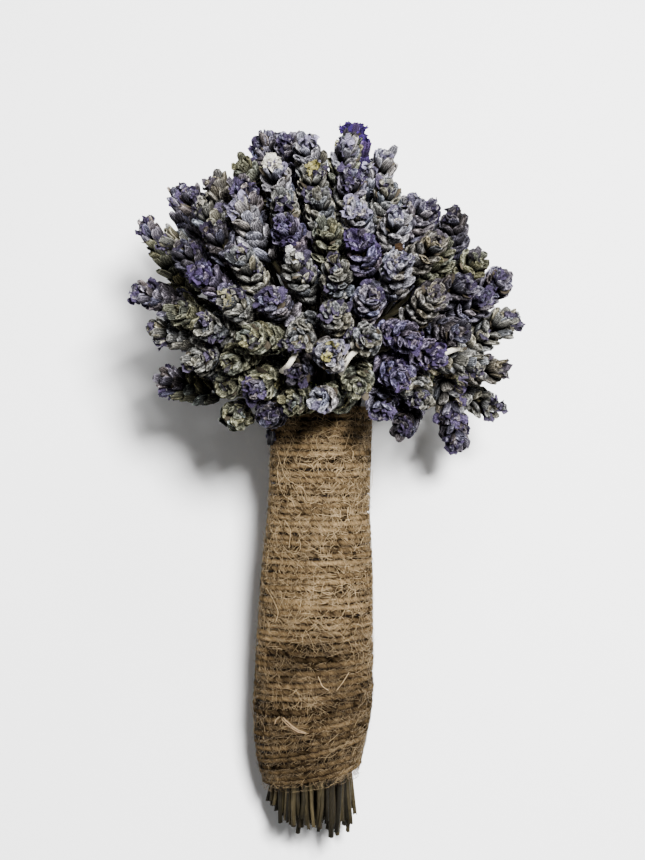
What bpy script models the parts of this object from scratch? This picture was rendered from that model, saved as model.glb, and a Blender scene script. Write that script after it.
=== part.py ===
"""A dried lavender bunch on its side: flower spikes on long stems, bound with jute twine into a handle.

Lengths are in millimetres until a mesh is made. The bunch's own frame has its origin in the middle of
the twine's top turn, +Y along the bunch to the flowers, +X to the right and +Z on the side that faces
up. The empty lay_down tips that frame so that flowers and handle rest on z = 0.
"""

import math

import bmesh
import bpy
import numpy as np
from mathutils import Vector

MM = 0.001
MERGE = 0.01

# How the photograph is read: its scale at the bunch's axis, and where the twine's top turn lies in it.
PHOTO_SCALE = 0.36
NECK_PIXEL = np.array([322.0, 405.0])
CENTRE_PIXEL = np.array([322.5, 430.0])
PHOTO_LEAN = math.radians(-1.7)
EYE_DISTANCE = 600.0

# The bunch on its surface: how far its flower end is tipped up, how deep what meets the surface is
# pressed flat, and where the neck stands over the origin.
TIP_UP = math.radians(12.0)
PRESS = 1.1
ORIGIN_SHIFT = (-1.7, 25.2)
FLOOR_NORMAL = np.array([0.0, math.sin(TIP_UP), math.cos(TIP_UP)])

# The dome of flowers: the spikes' tips lie on an egg shape, and the spikes fan out of one point.
DOME_CENTRE = np.array([0.0, 37.4, 0.0])
DOME_RADII = np.array([69.0, 64.0, 66.0])
FAN_POINT = np.array([0.0, 25.4, 0.0])
LOWEST_FILL = math.radians(122.0)
SPOTS_TRIED = 900
TIP_SPREAD = (0.96, 1.02)

# The photographed tips make an outline, which falls off beside each of them, in millimetres for a radian.
# All other tips start this far inside it, and no tip settles further than this outside it.
OUTLINE_FALL = 62.0
INSIDE_OUTLINE = 4.5
OUTSIDE_OUTLINE = 2.5

# A flower spike: its whorls of florets, its girth at the widest whorl and along its length, and the room
# that it takes there when spikes settle against each other.
SPIKE_RADIUS = 5.7
SPIKE_LENGTHS = (23.0, 31.0)
USUAL_LENGTH = 26.0
LENGTH_SPREAD = (0.92, 1.08)
LONGEST = 35.0
LEAST_SLOPE = 1.03
GIRTH_AT = (0.0, 0.18, 0.5, 0.8, 1.0)
GIRTH = (0.6, 0.96, 1.0, 0.85, 0.5)
ROOM = (0.75, 1.0, 1.0, 0.97, 0.75)
WHORL_STEP = 8.8
WIDEST_AT = 0.5
WAIST_AT = 0.92
WAIST = 0.74
SPIKE_GAP = 0.5

# The stems: three to a strand, and the strands in rings in the handle.
SIDES = 5
STEM_RADIUS = 0.92
STEMS_IN_STRAND = 3
STEM_OFFSET = 0.75
STRANDS_IN_RINGS = (1, 7, 14, 22)
RING_STEP = 4.2
STEM_STEPS = 2
RISE = 0.42
ARRIVE = 0.3
SPIKE_COUNT = STEMS_IN_STRAND * sum(STRANDS_IN_RINGS)

# The cut ends below the handle, which spread a little, and are shorter on the left and near the surface.
END_LENGTH = 15.6
END_SHORTER_LEFT = 0.35
END_SPREAD = 1.08
END_JITTER = 2.0
END_CLEAR = 0.3

# The jute handle: its outline as distance below the neck and radius, and the twine that makes it.
WRAP_LENGTH = 133.6
WRAP_DOWN = (0.0, 36.6, 57.6, 83.6, 105.6, 115.6, 124.6, 133.6)
WRAP_RADII = (17.9, 18.0, 19.7, 20.8, 21.3, 20.7, 19.0, 16.9)
WRAP_SIDES = 12
TWINE_PITCH = 2.24
TWINE_RELIEF = 0.7
BORE_RADIUS = 15.7
CORNER_REACH = 0.45

# The handle lies on its last turns of twine, whose corners are pressed flat.
NECK_HEIGHT = WRAP_LENGTH * math.sin(TIP_UP) + WRAP_RADII[-1] * math.cos(TIP_UP)

# How the spikes settle: steps, share of an overlap undone in each, how much less a spike gives way than a
# stem does, and the pulls, which fade to nothing, of a spike to its wished place and of a stem to its
# smooth curve.
SETTLE_STEPS = 300
SETTLE_PUSH = 0.3
SPIKE_YIELD = 0.5
SHAKE = 0.5
SETTLE_PULL = 0.004
STEM_SPRING = 0.06

SEED = 17

# Tip and base of each spike that the photograph shows, in its pixels.
SPIKES_IN_PHOTO = {
    "left_long": (147, 216, 203, 292),
    "left_top_a": (174, 188, 190, 262),
    "left_top_b": (188, 186, 212, 248),
    "left_top_c": (202, 200, 236, 262),
    "left_brown": (209, 176, 243, 235),
    "left_pale": (236, 206, 282, 262),
    "left_inner": (248, 175, 254, 226),
    "crown_ribbed": (243, 163, 272, 198),
    "crown_left": (271, 132, 274, 184),
    "crown_mid": (300, 134, 306, 192),
    "crown_open": (280, 174, 284, 206),
    "crown_yellow": (309, 170, 313, 207),
    "upper_dark": (222, 226, 250, 276),
    "upper_grey": (278, 212, 284, 244),
    "upper_vivid": (309, 200, 312, 242),
    "mid_left_violet": (207, 268, 243, 312),
    "mid_left_dark": (188, 244, 222, 292),
    "mid_left_small": (238, 250, 262, 288),
    "crown_right_a": (330, 162, 334, 202),
    "crown_right_b": (342, 166, 347, 206),
    "tallest": (352, 124, 360, 190),
    "right_round": (358, 184, 363, 218),
    "right_small": (378, 187, 380, 228),
    "right_flat": (394, 194, 386, 236),
    "front_green": (345, 204, 351, 250),
    "front_grey": (326, 196, 326, 236),
    "front_vivid": (362, 227, 371, 260),
    "right_pale_a": (371, 208, 377, 246),
    "right_pale_b": (390, 216, 393, 252),
    "right_thin": (401, 203, 399, 242),
    "right_split": (432, 203, 418, 250),
    "right_peak": (454, 200, 450, 256),
    "right_hidden": (413, 212, 409, 256),
    "right_inner": (443, 236, 424, 274),
    "front_slant": (383, 243, 405, 270),
    "front_round": (349, 262, 352, 292),
    "front_low": (344, 295, 348, 320),
    "front_violet": (385, 282, 387, 313),
    "right_lying": (466, 281, 404, 290),
    "right_purple": (477, 264, 455, 308),
    "right_brown": (415, 300, 411, 326),
    "right_upper": (459, 254, 430, 283),
    "right_cluster": (484, 291, 448, 318),
    "low_left_purple": (140, 293, 195, 318),
    "low_left_big": (150, 326, 207, 343),
    "low_left_round": (224, 342, 242, 337),
    "low_left_slim": (237, 320, 285, 338),
    "low_mid_grey": (302, 346, 306, 320),
    "mid_pale": (297, 267, 325, 312),
    "mid_violet": (275, 292, 292, 314),
    "mid_scaly": (240, 282, 268, 310),
    "low_left_pale": (212, 360, 246, 372),
    "low_left_long": (157, 376, 213, 394),
    "low_left_yellow": (224, 391, 250, 380),
    "low_bent_left": (243, 402, 288, 372),
    "low_bent_mid": (302, 410, 343, 372),
    "low_left_brown": (223, 412, 250, 395),
    "low_left_dark": (251, 418, 276, 394),
    "mid_yellow": (343, 326, 347, 358),
    "mid_twin_grey": (376, 322, 378, 350),
    "mid_twin_violet": (400, 338, 388, 326),
    "mid_right_violet": (428, 347, 400, 338),
    "mid_right_dark": (447, 336, 415, 322),
    "low_vivid": (385, 367, 392, 345),
    "low_right_grey": (410, 374, 399, 352),
    "low_big": (380, 411, 372, 374),
    "low_right_dark": (399, 423, 420, 386),
    "hanging": (452, 421, 440, 362),
    "hanging_behind": (460, 445, 455, 398),
    "far_right": (518, 318, 458, 350),
    "far_right_upper": (494, 302, 455, 335),
    "far_right_low": (503, 366, 458, 372),
    "far_right_last": (491, 407, 448, 384),
    "low_green": (270, 409, 300, 380),
    "low_tucked": (298, 385, 312, 360),
    "low_mid_green": (350, 378, 356, 346),
    "low_left_back": (236, 367, 262, 350),
}

random = np.random.default_rng(SEED)


def unit(vectors):
    """The same vectors with length 1."""
    return vectors / np.linalg.norm(vectors, axis=-1, keepdims=True)


def at_depth(pixel, depth):
    """The point of the bunch that a pixel shows, if it lies this far in front of the bunch's axis."""
    lean = np.array(
        [[math.cos(PHOTO_LEAN), math.sin(PHOTO_LEAN)], [-math.sin(PHOTO_LEAN), math.cos(PHOTO_LEAN)]]
    )
    flip = np.array([1.0, -1.0])
    spot = lean @ ((np.asarray(pixel) - NECK_PIXEL) * flip * PHOTO_SCALE)
    eye = lean @ ((CENTRE_PIXEL - NECK_PIXEL) * flip * PHOTO_SCALE)
    spot = eye + (spot - eye) * (1.0 - depth / EYE_DISTANCE)
    return np.array([spot[0], spot[1], depth])


def photographed_spike(tip_pixel, base_pixel):
    """Base, tip of a spike of the photograph: its tip on the dome, and what seems short points at the eye."""
    depth = 0.0
    for _ in range(4):
        level = (at_depth(tip_pixel, depth) - DOME_CENTRE) / DOME_RADII
        depth = DOME_RADII[2] * math.sqrt(max(0.0, 1.0 - level[0] ** 2 - level[1] ** 2))
    tip = at_depth(tip_pixel, depth)
    seen = (at_depth(base_pixel, depth) - tip)[:2]
    across = min(np.linalg.norm(seen), LONGEST)
    length = max(USUAL_LENGTH * random.uniform(*LENGTH_SPREAD), LEAST_SLOPE * across)
    inward = math.sqrt(length**2 - across**2)
    return tip + np.append(unit(seen) * across, -inward), tip


def fill_spike(tip):
    """Base, tip of a spike that fans out straight to its tip."""
    length = random.uniform(*SPIKE_LENGTHS)
    return tip - length * unit(tip - FAN_POINT), tip


def dome_points(count):
    """Points spread evenly over the dome in a sunflower's spiral, from its top down to LOWEST_FILL."""
    steps = np.arange(count) + 0.5
    upward = 1.0 - steps / count * (1.0 - math.cos(LOWEST_FILL))
    turn = steps * math.pi * (3.0 - math.sqrt(5.0))
    outward = np.sqrt(1.0 - upward**2)
    rays = np.stack([outward * np.cos(turn), upward, outward * np.sin(turn)], 1)
    return DOME_CENTRE + rays * DOME_RADII


def inside_outline(spots, tips, inside):
    """Spots pulled in until they lie this far inside the outline that the photographed tips make."""
    offsets, known = spots - DOME_CENTRE, tips - DOME_CENTRE
    turned = np.arctan2(offsets[:, 1], offsets[:, 0])[:, None] - np.arctan2(known[:, 1], known[:, 0])
    away = np.abs(np.angle(np.exp(1j * turned)))
    outline = (np.hypot(known[:, 0], known[:, 1]) - OUTLINE_FALL * away).max(1) - inside
    shrink = np.minimum(outline / np.hypot(offsets[:, 0], offsets[:, 1]), 1.0)
    return DOME_CENTRE + offsets * np.stack([shrink, shrink, np.ones_like(shrink)], 1)


def all_spikes():
    """Bases and tips before they settle: those of the photograph, and others wherever the gap is widest."""
    spikes = [photographed_spike(ends[:2], ends[2:]) for ends in SPIKES_IN_PHOTO.values()]
    known = np.array([tip for _, tip in spikes])
    spots = inside_outline(dome_points(SPOTS_TRIED), known, INSIDE_OUTLINE)
    while len(spikes) < SPIKE_COUNT:
        tips = np.array([tip for _, tip in spikes])
        gaps = np.linalg.norm(spots[:, None] - tips[None], axis=2).min(1)
        spikes.append(fill_spike(spots[gaps.argmax()] * random.uniform(*TIP_SPREAD)))
    bases, tips = np.array(spikes).transpose(1, 0, 2)
    return bases + random.uniform(-SHAKE, SHAKE, bases.shape), tips


def girth(along):
    """A spike's radius, as a share of its widest, this far along from base 0 to tip 1."""
    return np.interp(along, GIRTH_AT, GIRTH)


def strands(bases, tips):
    """For each strand, its spot in the handle's round section and the three spikes that it carries.

    Spikes are taken from the top of the dome down, one ring of strands after another, and round each
    ring in order, so that no stem has to cross over another.
    """
    middles = (bases + tips) / 2.0 - FAN_POINT
    order = list(np.argsort(-unit(middles)[:, 1], kind="stable"))
    turns = np.arctan2(middles[:, 2], middles[:, 0])
    found = []
    for ring, count in enumerate(STRANDS_IN_RINGS):
        taken, order = order[: count * STEMS_IN_STRAND], order[count * STEMS_IN_STRAND :]
        taken.sort(key=lambda spike: turns[spike])
        groups = [taken[i : i + STEMS_IN_STRAND] for i in range(0, len(taken), STEMS_IN_STRAND)]
        steps = np.arange(count) * 2.0 * math.pi / count
        leads = [np.exp(1j * (turns[group] - step)).sum() for group, step in zip(groups, steps)]
        start = np.angle(sum(leads))
        for group, step in zip(groups, steps):
            spot = RING_STEP * ring * np.array([math.cos(start + step), math.sin(start + step)])
            found.append((spot, group))
    return found


def stem_offsets(group, bases):
    """Which way each stem of a strand stands from the strand's middle: the way that its spike lies."""
    away = (bases[group] - bases[group].mean(0))[:, [0, 2]]
    lies = np.arctan2(away[:, 1], away[:, 0])
    places = np.argsort(np.argsort(lies)) * 2.0 * math.pi / STEMS_IN_STRAND
    turns = places + np.angle(np.exp(1j * (lies - places)).sum())
    return np.stack([np.cos(turns), np.sin(turns)], 1)


def bezier(start, first, second, end, steps):
    """Points on a cubic curve after its start, the last of them its end."""
    t = (np.arange(steps)[:, None, None] + 1.0) / steps
    return (1 - t) ** 3 * start + 3 * t * (1 - t) ** 2 * first + 3 * t**2 * (1 - t) * second + t**3 * end


def stem_curves(necks, bases, tips):
    """The way of each stem from the handle's top to its spike's base: straight up, then out to the spike."""
    reach = np.linalg.norm(bases - necks, axis=1)[:, None]
    rising = necks + reach * [0.0, RISE, 0.0]
    arriving = bases - ARRIVE * reach * unit(tips - bases)
    return bezier(necks, rising, arriving, bases, STEM_STEPS)[:-1]


def nearest_places(starts, runs, other_starts, other_runs):
    """How far along each line of one list and its partner in the other they come nearest each other."""
    between = starts - other_starts
    size, other_size = (runs**2).sum(1), (other_runs**2).sum(1)
    dot = (runs * other_runs).sum(1)
    first, second = (runs * between).sum(1), (other_runs * between).sum(1)
    spread = np.maximum(size * other_size - dot**2, 1e-6)
    along = np.clip((dot * second - first * other_size) / spread, 0.0, 1.0)
    other = np.clip((dot * along + second) / other_size, 0.0, 1.0)
    along = np.clip((dot * other - first) / size, 0.0, 1.0)
    return along, other


def places_to_check(starts, runs, other_starts, other_runs):
    """Three pairs of places for two stretches: the nearest, and each middle with what lies beside it."""
    half = np.full(len(starts), 0.5)
    yield nearest_places(starts, runs, other_starts, other_runs)
    beside = ((starts + 0.5 * runs - other_starts) * other_runs).sum(1) / (other_runs**2).sum(1)
    yield half, np.clip(beside, 0.0, 1.0)
    beside = ((other_starts + 0.5 * other_runs - starts) * runs).sum(1) / (runs**2).sum(1)
    yield np.clip(beside, 0.0, 1.0), half


def near_pairs(joints, teams):
    """Pairs of stretches, of stems or spikes, that may touch, leaving out stems of one strand."""
    middles = (joints[1:] + joints[:-1]).reshape(-1, 3) / 2.0
    halves = np.linalg.norm(joints[1:] - joints[:-1], axis=2).ravel() / 2.0
    count = joints.shape[1]
    stem = np.arange(len(middles)) % count
    spike = np.arange(len(middles)) // count == len(joints) - 2
    one, two = np.triu_indices(len(middles), 1)
    reach = halves[one] + halves[two] + 2.0 * SPIKE_RADIUS
    near = np.linalg.norm(middles[one] - middles[two], axis=1) < reach
    apart = (stem[one] != stem[two]) & ((teams[stem[one]] != teams[stem[two]]) | (spike[one] & spike[two]))
    return one[near & apart], two[near & apart], spike


def room(along, spike):
    """Half the width that a stretch takes up this far along it."""
    return np.where(spike, SPIKE_RADIUS * np.interp(along, GIRTH_AT, ROOM), STEM_RADIUS)


def above_floor(points):
    """How high points lie over the surface that the bunch lies on."""
    return points @ FLOOR_NORMAL + NECK_HEIGHT


def off_floor(bases, tips):
    """How far spikes have to rise so that their lowest florets are just pressed against the surface."""
    ways = unit(tips - bases) @ FLOOR_NORMAL
    reach = SPIKE_RADIUS * np.sqrt(1.0 - ways**2)
    heights = above_floor(bases), above_floor(tips)
    lowest = [heights[0] * (1.0 - t) + heights[1] * t - girth(t) * reach for t in (0.2, 0.5, 0.8, 1.0)]
    return np.maximum(-PRESS - np.min(lowest, 0), 0.0)[:, None] * FLOOR_NORMAL


def off_handle(points):
    """Points beside the handle moved out until a spike there is clear of the twine."""
    outward = np.maximum(np.hypot(points[:, 0], points[:, 2]), 1e-6)
    beside = points[:, 1] < SPIKE_RADIUS
    grow = np.where(beside, np.maximum((WRAP_RADII[0] + SPIKE_RADIUS + 1.0) / outward, 1.0), 1.0)
    return points * np.stack([grow, np.ones_like(grow), grow], 1)


def settled(bases, tips, necks, teams):
    """Moves stems' middles and spikes until none runs into another, the handle or the floor.

    Returns rows of joints: each stem's points from the handle's top to its spike's base and tip.
    """
    lengths = np.linalg.norm(tips - bases, axis=1)[:, None]
    joints = np.concatenate([[necks], stem_curves(necks, bases, tips), [bases, tips]])
    wished = joints[-2:].copy()
    stems = joints.shape[1]
    for step in range(SETTLE_STEPS):
        if step % 10 == 0:
            one, two, spike = near_pairs(joints, teams)
            light = np.where(spike, SPIKE_YIELD, 1.0)
            share = light[one] / (light[one] + light[two])
        starts = joints[:-1].reshape(-1, 3)
        runs = joints[1:].reshape(-1, 3) - starts
        moves = np.zeros((joints.shape[0] * stems, 3))
        for along, other in places_to_check(starts[one], runs[one], starts[two], runs[two]):
            apart = starts[one] + along[:, None] * runs[one] - starts[two] - other[:, None] * runs[two]
            distance = np.maximum(np.linalg.norm(apart, axis=1), 1e-3)
            wanted = room(along, spike[one]) + room(other, spike[two]) + SPIKE_GAP
            push = (SETTLE_PUSH * np.maximum(wanted - distance, 0.0) / distance)[:, None] * apart
            np.add.at(moves, one, (share * (1.0 - along))[:, None] * push)
            np.add.at(moves, one + stems, (share * along)[:, None] * push)
            np.add.at(moves, two, -((1.0 - share) * (1.0 - other))[:, None] * push)
            np.add.at(moves, two + stems, -((1.0 - share) * other)[:, None] * push)
        joints += moves.reshape(joints.shape)
        fading = 1.0 - step / SETTLE_STEPS
        joints[-2:] += SETTLE_PULL * fading * (wished - joints[-2:])
        joints[-1] = inside_outline(joints[-1], wished[-1][: len(SPIKES_IN_PHOTO)], -OUTSIDE_OUTLINE)
        joints[1:-2] += STEM_SPRING * fading * (stem_curves(necks, joints[-2], joints[-1]) - joints[1:-2])
        joints[0] = necks
        joints[-2:] = [off_handle(points) for points in joints[-2:]]
        middles = joints[-2:].mean(0) + off_floor(joints[-2], joints[-1])
        halves = unit(joints[-1] - joints[-2]) * lengths / 2.0
        joints[-2:] = [middles - halves, middles + halves]
    return np.round(joints, 2)


def bound_stems():
    """For each strand, the cut end and the joints, from the handle's top to the spike's tip, of its stems."""
    bases, tips = all_spikes()
    necks = np.zeros_like(bases)
    ends = np.zeros_like(bases)
    teams = np.zeros(len(bases), int)
    found = strands(bases, tips)
    for team, (spot, group) in enumerate(found):
        offsets = stem_offsets(group, bases)
        teams[group] = team
        necks[np.ix_(group, [0, 2])] = spot + STEM_OFFSET * offsets
        ends[group] = [cut_end(place) for place in spot + STEM_OFFSET * offsets]
    joints = settled(bases, tips, necks, teams)
    return [[(ends[spike], joints[:, spike]) for spike in group] for _, group in found]


def frames_along(points):
    """Two directions square to the line at each of its points, carried along it without twist."""
    points = [Vector(point) for point in points]
    ways = [(points[1] - points[0]).normalized()]
    ways += [(after - before).normalized() for before, after in zip(points, points[2:])]
    ways.append((points[-1] - points[-2]).normalized())
    side = ways[0].orthogonal().normalized()
    found = []
    for before, way in zip([ways[0]] + ways, ways):
        side = before.rotation_difference(way) @ side
        found.append((side.copy(), way.cross(side)))
    return np.array(found)


def loft(name, line, radii, turns):
    """A closed tube round a line that ends in a point, as thick and as far turned as its lists say."""
    steps = 2.0 * math.pi * np.arange(SIDES) / SIDES
    rings = []
    for point, radius, turn, (across, up) in zip(line, radii, turns, frames_along(line)):
        around = np.cos(steps + turn)[:, None] * across + np.sin(steps + turn)[:, None] * up
        rings.append(point + radius * around)
    points = np.concatenate(rings[:-1] + [line[-1:]])
    faces = [tuple(reversed(range(SIDES)))]
    for ring in range(len(rings) - 2):
        for k in range(SIDES):
            low, after = SIDES * ring + k, SIDES * ring + (k + 1) % SIDES
            if turns[ring] == turns[ring + 1]:
                faces.append((low, after, after + SIDES, low + SIDES))
            else:
                faces += [(low, after, low + SIDES), (after, after + SIDES, low + SIDES)]
    last = SIDES * (len(rings) - 2)
    faces += [(last + k, last + (k + 1) % SIDES, len(points) - 1) for k in range(SIDES)]
    mesh = bpy.data.meshes.new(name)
    mesh.from_pydata(points * MM, [], faces)
    return bpy.data.objects.new(name, mesh)


def spike_rings(base, tip):
    """Line, radii and turns of a spike's whorls: a wide ring of floret tips, then a waist, and so on."""
    heights = [0.0]
    radii = [STEM_RADIUS]
    whorls = round(np.linalg.norm(tip - base) / WHORL_STEP)
    for whorl in range(whorls):
        wide, waist = (whorl + WIDEST_AT) / whorls, (whorl + WAIST_AT) / whorls
        heights += [wide, waist]
        radii += [SPIKE_RADIUS * girth(wide), SPIKE_RADIUS * WAIST * girth(waist)]
    heights[-1] = 1.0
    line = base + np.array(heights)[:, None] * (tip - base)
    turns = math.pi / SIDES * np.arange(len(heights))
    return line, radii, turns


def cut_end(spot):
    """The place of a cut end below the twine, for a stem at this spot of the handle's section."""
    spot = END_SPREAD * spot
    length = END_LENGTH - END_SHORTER_LEFT * max(0.0, -spot[0]) + random.uniform(-END_JITTER, END_JITTER)
    lowest = above_floor(np.array([spot[0], -WRAP_LENGTH, spot[1] - STEM_RADIUS]))
    length = min(length, (lowest - END_CLEAR) / math.sin(TIP_UP))
    return np.array([spot[0], -WRAP_LENGTH - length, spot[1]])


def sprig(name, end, joints):
    """One whole stem, from its cut end through the handle to its flower spike."""
    whorls, radii, turns = spike_rings(joints[-2], joints[-1])
    line = np.concatenate([[end], joints[:-2], whorls])
    stem = len(joints) - 1
    return loft(name, line, [STEM_RADIUS] * stem + radii, np.concatenate([np.zeros(stem), turns]))


def fused(name, pieces, collection):
    """The pieces joined by one Boolean union into one object."""
    first, others = pieces[0], pieces[1:]
    joining = bpy.data.collections.new("joining")
    bpy.context.scene.collection.children.link(joining)
    for piece in others:
        joining.objects.link(piece)
    collection.objects.link(first)
    union = first.modifiers.new("union", "BOOLEAN")
    union.operation = "UNION"
    union.solver = "EXACT"
    union.operand_type = "COLLECTION"
    union.collection = joining
    seen = first.evaluated_get(bpy.context.evaluated_depsgraph_get())
    mesh = bpy.data.meshes.new_from_object(seen)
    for piece in pieces:
        bpy.data.objects.remove(piece)
    bpy.data.collections.remove(joining)
    joined = bpy.data.objects.new(name, mesh)
    collection.objects.link(joined)
    return joined


def without_scraps(shape):
    """Drops the slivers that a union can leave, so that one body is left."""
    bodies = []
    waiting = set(shape.verts)
    while waiting:
        body = {waiting.pop()}
        edge = set(body)
        while edge:
            edge = {link.other_vert(point) for point in edge for link in point.link_edges} - body
            body |= edge
        waiting -= body
        bodies.append(body)
    bodies.sort(key=len)
    bmesh.ops.delete(shape, geom=[point for body in bodies[:-1] for point in body], context="VERTS")


def cut_off(shape, spot, way):
    """Cuts the shape with a plane through the spot and drops what lies on the plane's far side."""
    geometry = shape.verts[:] + shape.edges[:] + shape.faces[:]
    bmesh.ops.bisect_plane(shape, geom=geometry, plane_co=spot, plane_no=way, clear_outer=True)


def pressed_flat(mesh):
    """The mesh cut off at the surface that the bunch lies on, so that what meets it has a flat spot."""
    shape = bmesh.new()
    shape.from_mesh(mesh)
    foot = Vector(-FLOOR_NORMAL * NECK_HEIGHT * MM)
    cut_off(shape, foot, Vector(FLOOR_NORMAL) * -1.0)
    bmesh.ops.holes_fill(shape, edges=[edge for edge in shape.edges if edge.is_boundary])
    without_scraps(shape)
    shape.to_mesh(mesh)
    shape.free()


def twine_profile():
    """One turn of twine as an open mesh beside the +Y axis: groove, crest, groove."""
    mesh = bpy.data.meshes.new("twine_turn")
    crest = WRAP_RADII[0] + CORNER_REACH
    groove = crest - TWINE_RELIEF
    top = TWINE_PITCH
    corners = [(groove, top, 0.0), (crest, top - TWINE_PITCH / 2.0, 0.0), (groove, top - TWINE_PITCH, 0.0)]
    mesh.from_pydata(np.array(corners) * MM, [(0, 1), (1, 2)], [])
    return bpy.data.objects.new("twine_turn", mesh)


def handle_radius(down):
    """The handle's radius this far below the neck."""
    return float(np.interp(down, WRAP_DOWN, WRAP_RADII))


def trimmed(shape, height, up):
    """Cuts the shape level at this height of its own Y, drops what lies beyond and closes it with a face."""
    cut_off(shape, Vector((0.0, height * MM, 0.0)), Vector((0.0, up, 0.0)))
    open_edges = [edge for edge in shape.edges if edge.is_boundary]
    rim = [edge for edge in open_edges if abs(edge.verts[0].co.y - height * MM) < MERGE * MM]
    bmesh.ops.holes_fill(shape, edges=rim)


def jute_wrap(collection):
    """The jute handle: one ridge winding down it turn by turn, swollen to the handle's outline."""
    turn = twine_profile()
    collection.objects.link(turn)
    screw = turn.modifiers.new("wind", "SCREW")
    screw.axis = "Y"
    screw.screw_offset = -TWINE_PITCH * MM
    screw.iterations = math.ceil(WRAP_LENGTH / TWINE_PITCH) + 2
    screw.steps = screw.render_steps = WRAP_SIDES
    mesh = bpy.data.meshes.new_from_object(turn.evaluated_get(bpy.context.evaluated_depsgraph_get()))
    bpy.data.objects.remove(turn)
    shape = bmesh.new()
    shape.from_mesh(mesh)
    bmesh.ops.remove_doubles(shape, verts=shape.verts[:], dist=MERGE * MM)
    for point in shape.verts:
        swell = handle_radius(-point.co.y / MM) - WRAP_RADII[0]
        outward = Vector((point.co.x, 0.0, point.co.z))
        point.co += outward.normalized() * swell * MM
    trimmed(shape, 0.0, 1.0)
    trimmed(shape, -WRAP_LENGTH, -1.0)
    bmesh.ops.recalc_face_normals(shape, faces=shape.faces[:])
    shape.to_mesh(mesh)
    shape.free()
    pressed_flat(mesh)
    wrap = bpy.data.objects.new("jute_wrap", mesh)
    collection.objects.link(wrap)
    return wrap


def bore_cutter(collection):
    """The round space inside the handle that the stems fill."""
    bpy.ops.mesh.primitive_cylinder_add(
        vertices=WRAP_SIDES,
        radius=BORE_RADIUS / math.cos(math.pi / WRAP_SIDES) * MM,
        depth=2.0 * WRAP_LENGTH * MM,
        location=(0.0, -WRAP_LENGTH / 2.0 * MM, 0.0),
        rotation=(math.pi / 2.0, 0.0, 0.0),
    )
    cutter = bpy.context.object
    cutter.name = "bore"
    cutter.hide_render = True
    cutter.display_type = "WIRE"
    for owner in list(cutter.users_collection):
        owner.objects.unlink(cutter)
    collection.objects.link(cutter)
    return cutter


def material(name, colour, roughness):
    made = bpy.data.materials.new(name)
    made.use_nodes = True
    shader = made.node_tree.nodes["Principled BSDF"]
    shader.inputs["Base Color"].default_value = (*colour, 1.0)
    shader.inputs["Roughness"].default_value = roughness
    shader.inputs["Metallic"].default_value = 0.0
    return made


def lay_down(objects):
    """Parents the objects to an empty that lays the bunch on its side, standing over the origin."""
    empty = bpy.data.objects.new("lay_down", None)
    bpy.context.scene.collection.objects.link(empty)
    empty.rotation_euler = (TIP_UP, 0.0, 0.0)
    empty.location = (ORIGIN_SHIFT[0] * MM, ORIGIN_SHIFT[1] * MM, NECK_HEIGHT * MM)
    for item in objects:
        item.parent = empty


def main():
    for item in list(bpy.data.objects):
        bpy.data.objects.remove(item)
    bunch = bpy.data.collections.new("lavender_bunch")
    cutters = bpy.data.collections.new("cutters")
    for collection in (bunch, cutters):
        bpy.context.scene.collection.children.link(collection)

    dried_flower = material("dried_flower", (0.16, 0.15, 0.19), 0.9)
    jute = material("jute", (0.36, 0.26, 0.16), 0.95)

    for number, stems in enumerate(bound_stems(), start=1):
        pieces = [sprig(f"stem_{number:02d}", end, joints) for end, joints in stems]
        node = fused(f"sprigs_{number:02d}", pieces, bunch)
        pressed_flat(node.data)
        node.data.materials.append(dried_flower)

    wrap = jute_wrap(bunch)
    wrap.data.materials.append(jute)
    bore = bore_cutter(cutters)
    hollow = wrap.modifiers.new("bore", "BOOLEAN")
    hollow.operation = "DIFFERENCE"
    hollow.solver = "EXACT"
    hollow.object = bore
    lay_down(list(bunch.objects) + [bore])


main()
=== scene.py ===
"""A dried lavender bunch lying on a pale surface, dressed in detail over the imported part.

Lengths are in millimetres until a mesh is made. The bunch's own frame has its origin in the middle of
the twine's top turn, +Y along the bunch to the flowers, +X to the right and +Z on the side that faces
up. The layout of stems and spikes repeats the part's own, so that each spike lies where its solid is.
"""

import math

import bpy
import numpy as np
from mathutils import Matrix, Vector

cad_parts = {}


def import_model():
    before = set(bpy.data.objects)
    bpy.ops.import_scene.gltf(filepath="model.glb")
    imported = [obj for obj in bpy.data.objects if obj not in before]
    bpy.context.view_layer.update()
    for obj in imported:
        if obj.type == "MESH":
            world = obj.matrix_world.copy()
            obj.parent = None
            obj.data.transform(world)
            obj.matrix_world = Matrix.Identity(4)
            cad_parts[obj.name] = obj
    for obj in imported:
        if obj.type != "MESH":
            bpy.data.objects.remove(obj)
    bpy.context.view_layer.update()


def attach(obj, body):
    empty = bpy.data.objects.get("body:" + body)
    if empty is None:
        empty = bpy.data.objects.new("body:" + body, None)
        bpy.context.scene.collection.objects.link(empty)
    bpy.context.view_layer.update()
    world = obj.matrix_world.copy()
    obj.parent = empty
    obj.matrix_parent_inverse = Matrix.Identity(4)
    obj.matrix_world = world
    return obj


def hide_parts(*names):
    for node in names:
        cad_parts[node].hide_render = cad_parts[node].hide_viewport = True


MM = 0.001

# How the photograph is read: its scale at the bunch's axis, and where the twine's top turn lies in it.
PHOTO_SCALE = 0.36
NECK_PIXEL = np.array([322.0, 405.0])
CENTRE_PIXEL = np.array([322.5, 430.0])
PHOTO_LEAN = math.radians(-1.7)
LEAN = np.array(
    [[math.cos(PHOTO_LEAN), math.sin(PHOTO_LEAN)], [-math.sin(PHOTO_LEAN), math.cos(PHOTO_LEAN)]]
)
EYE_DISTANCE = 600.0
IMAGE_HEIGHT = 860

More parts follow.
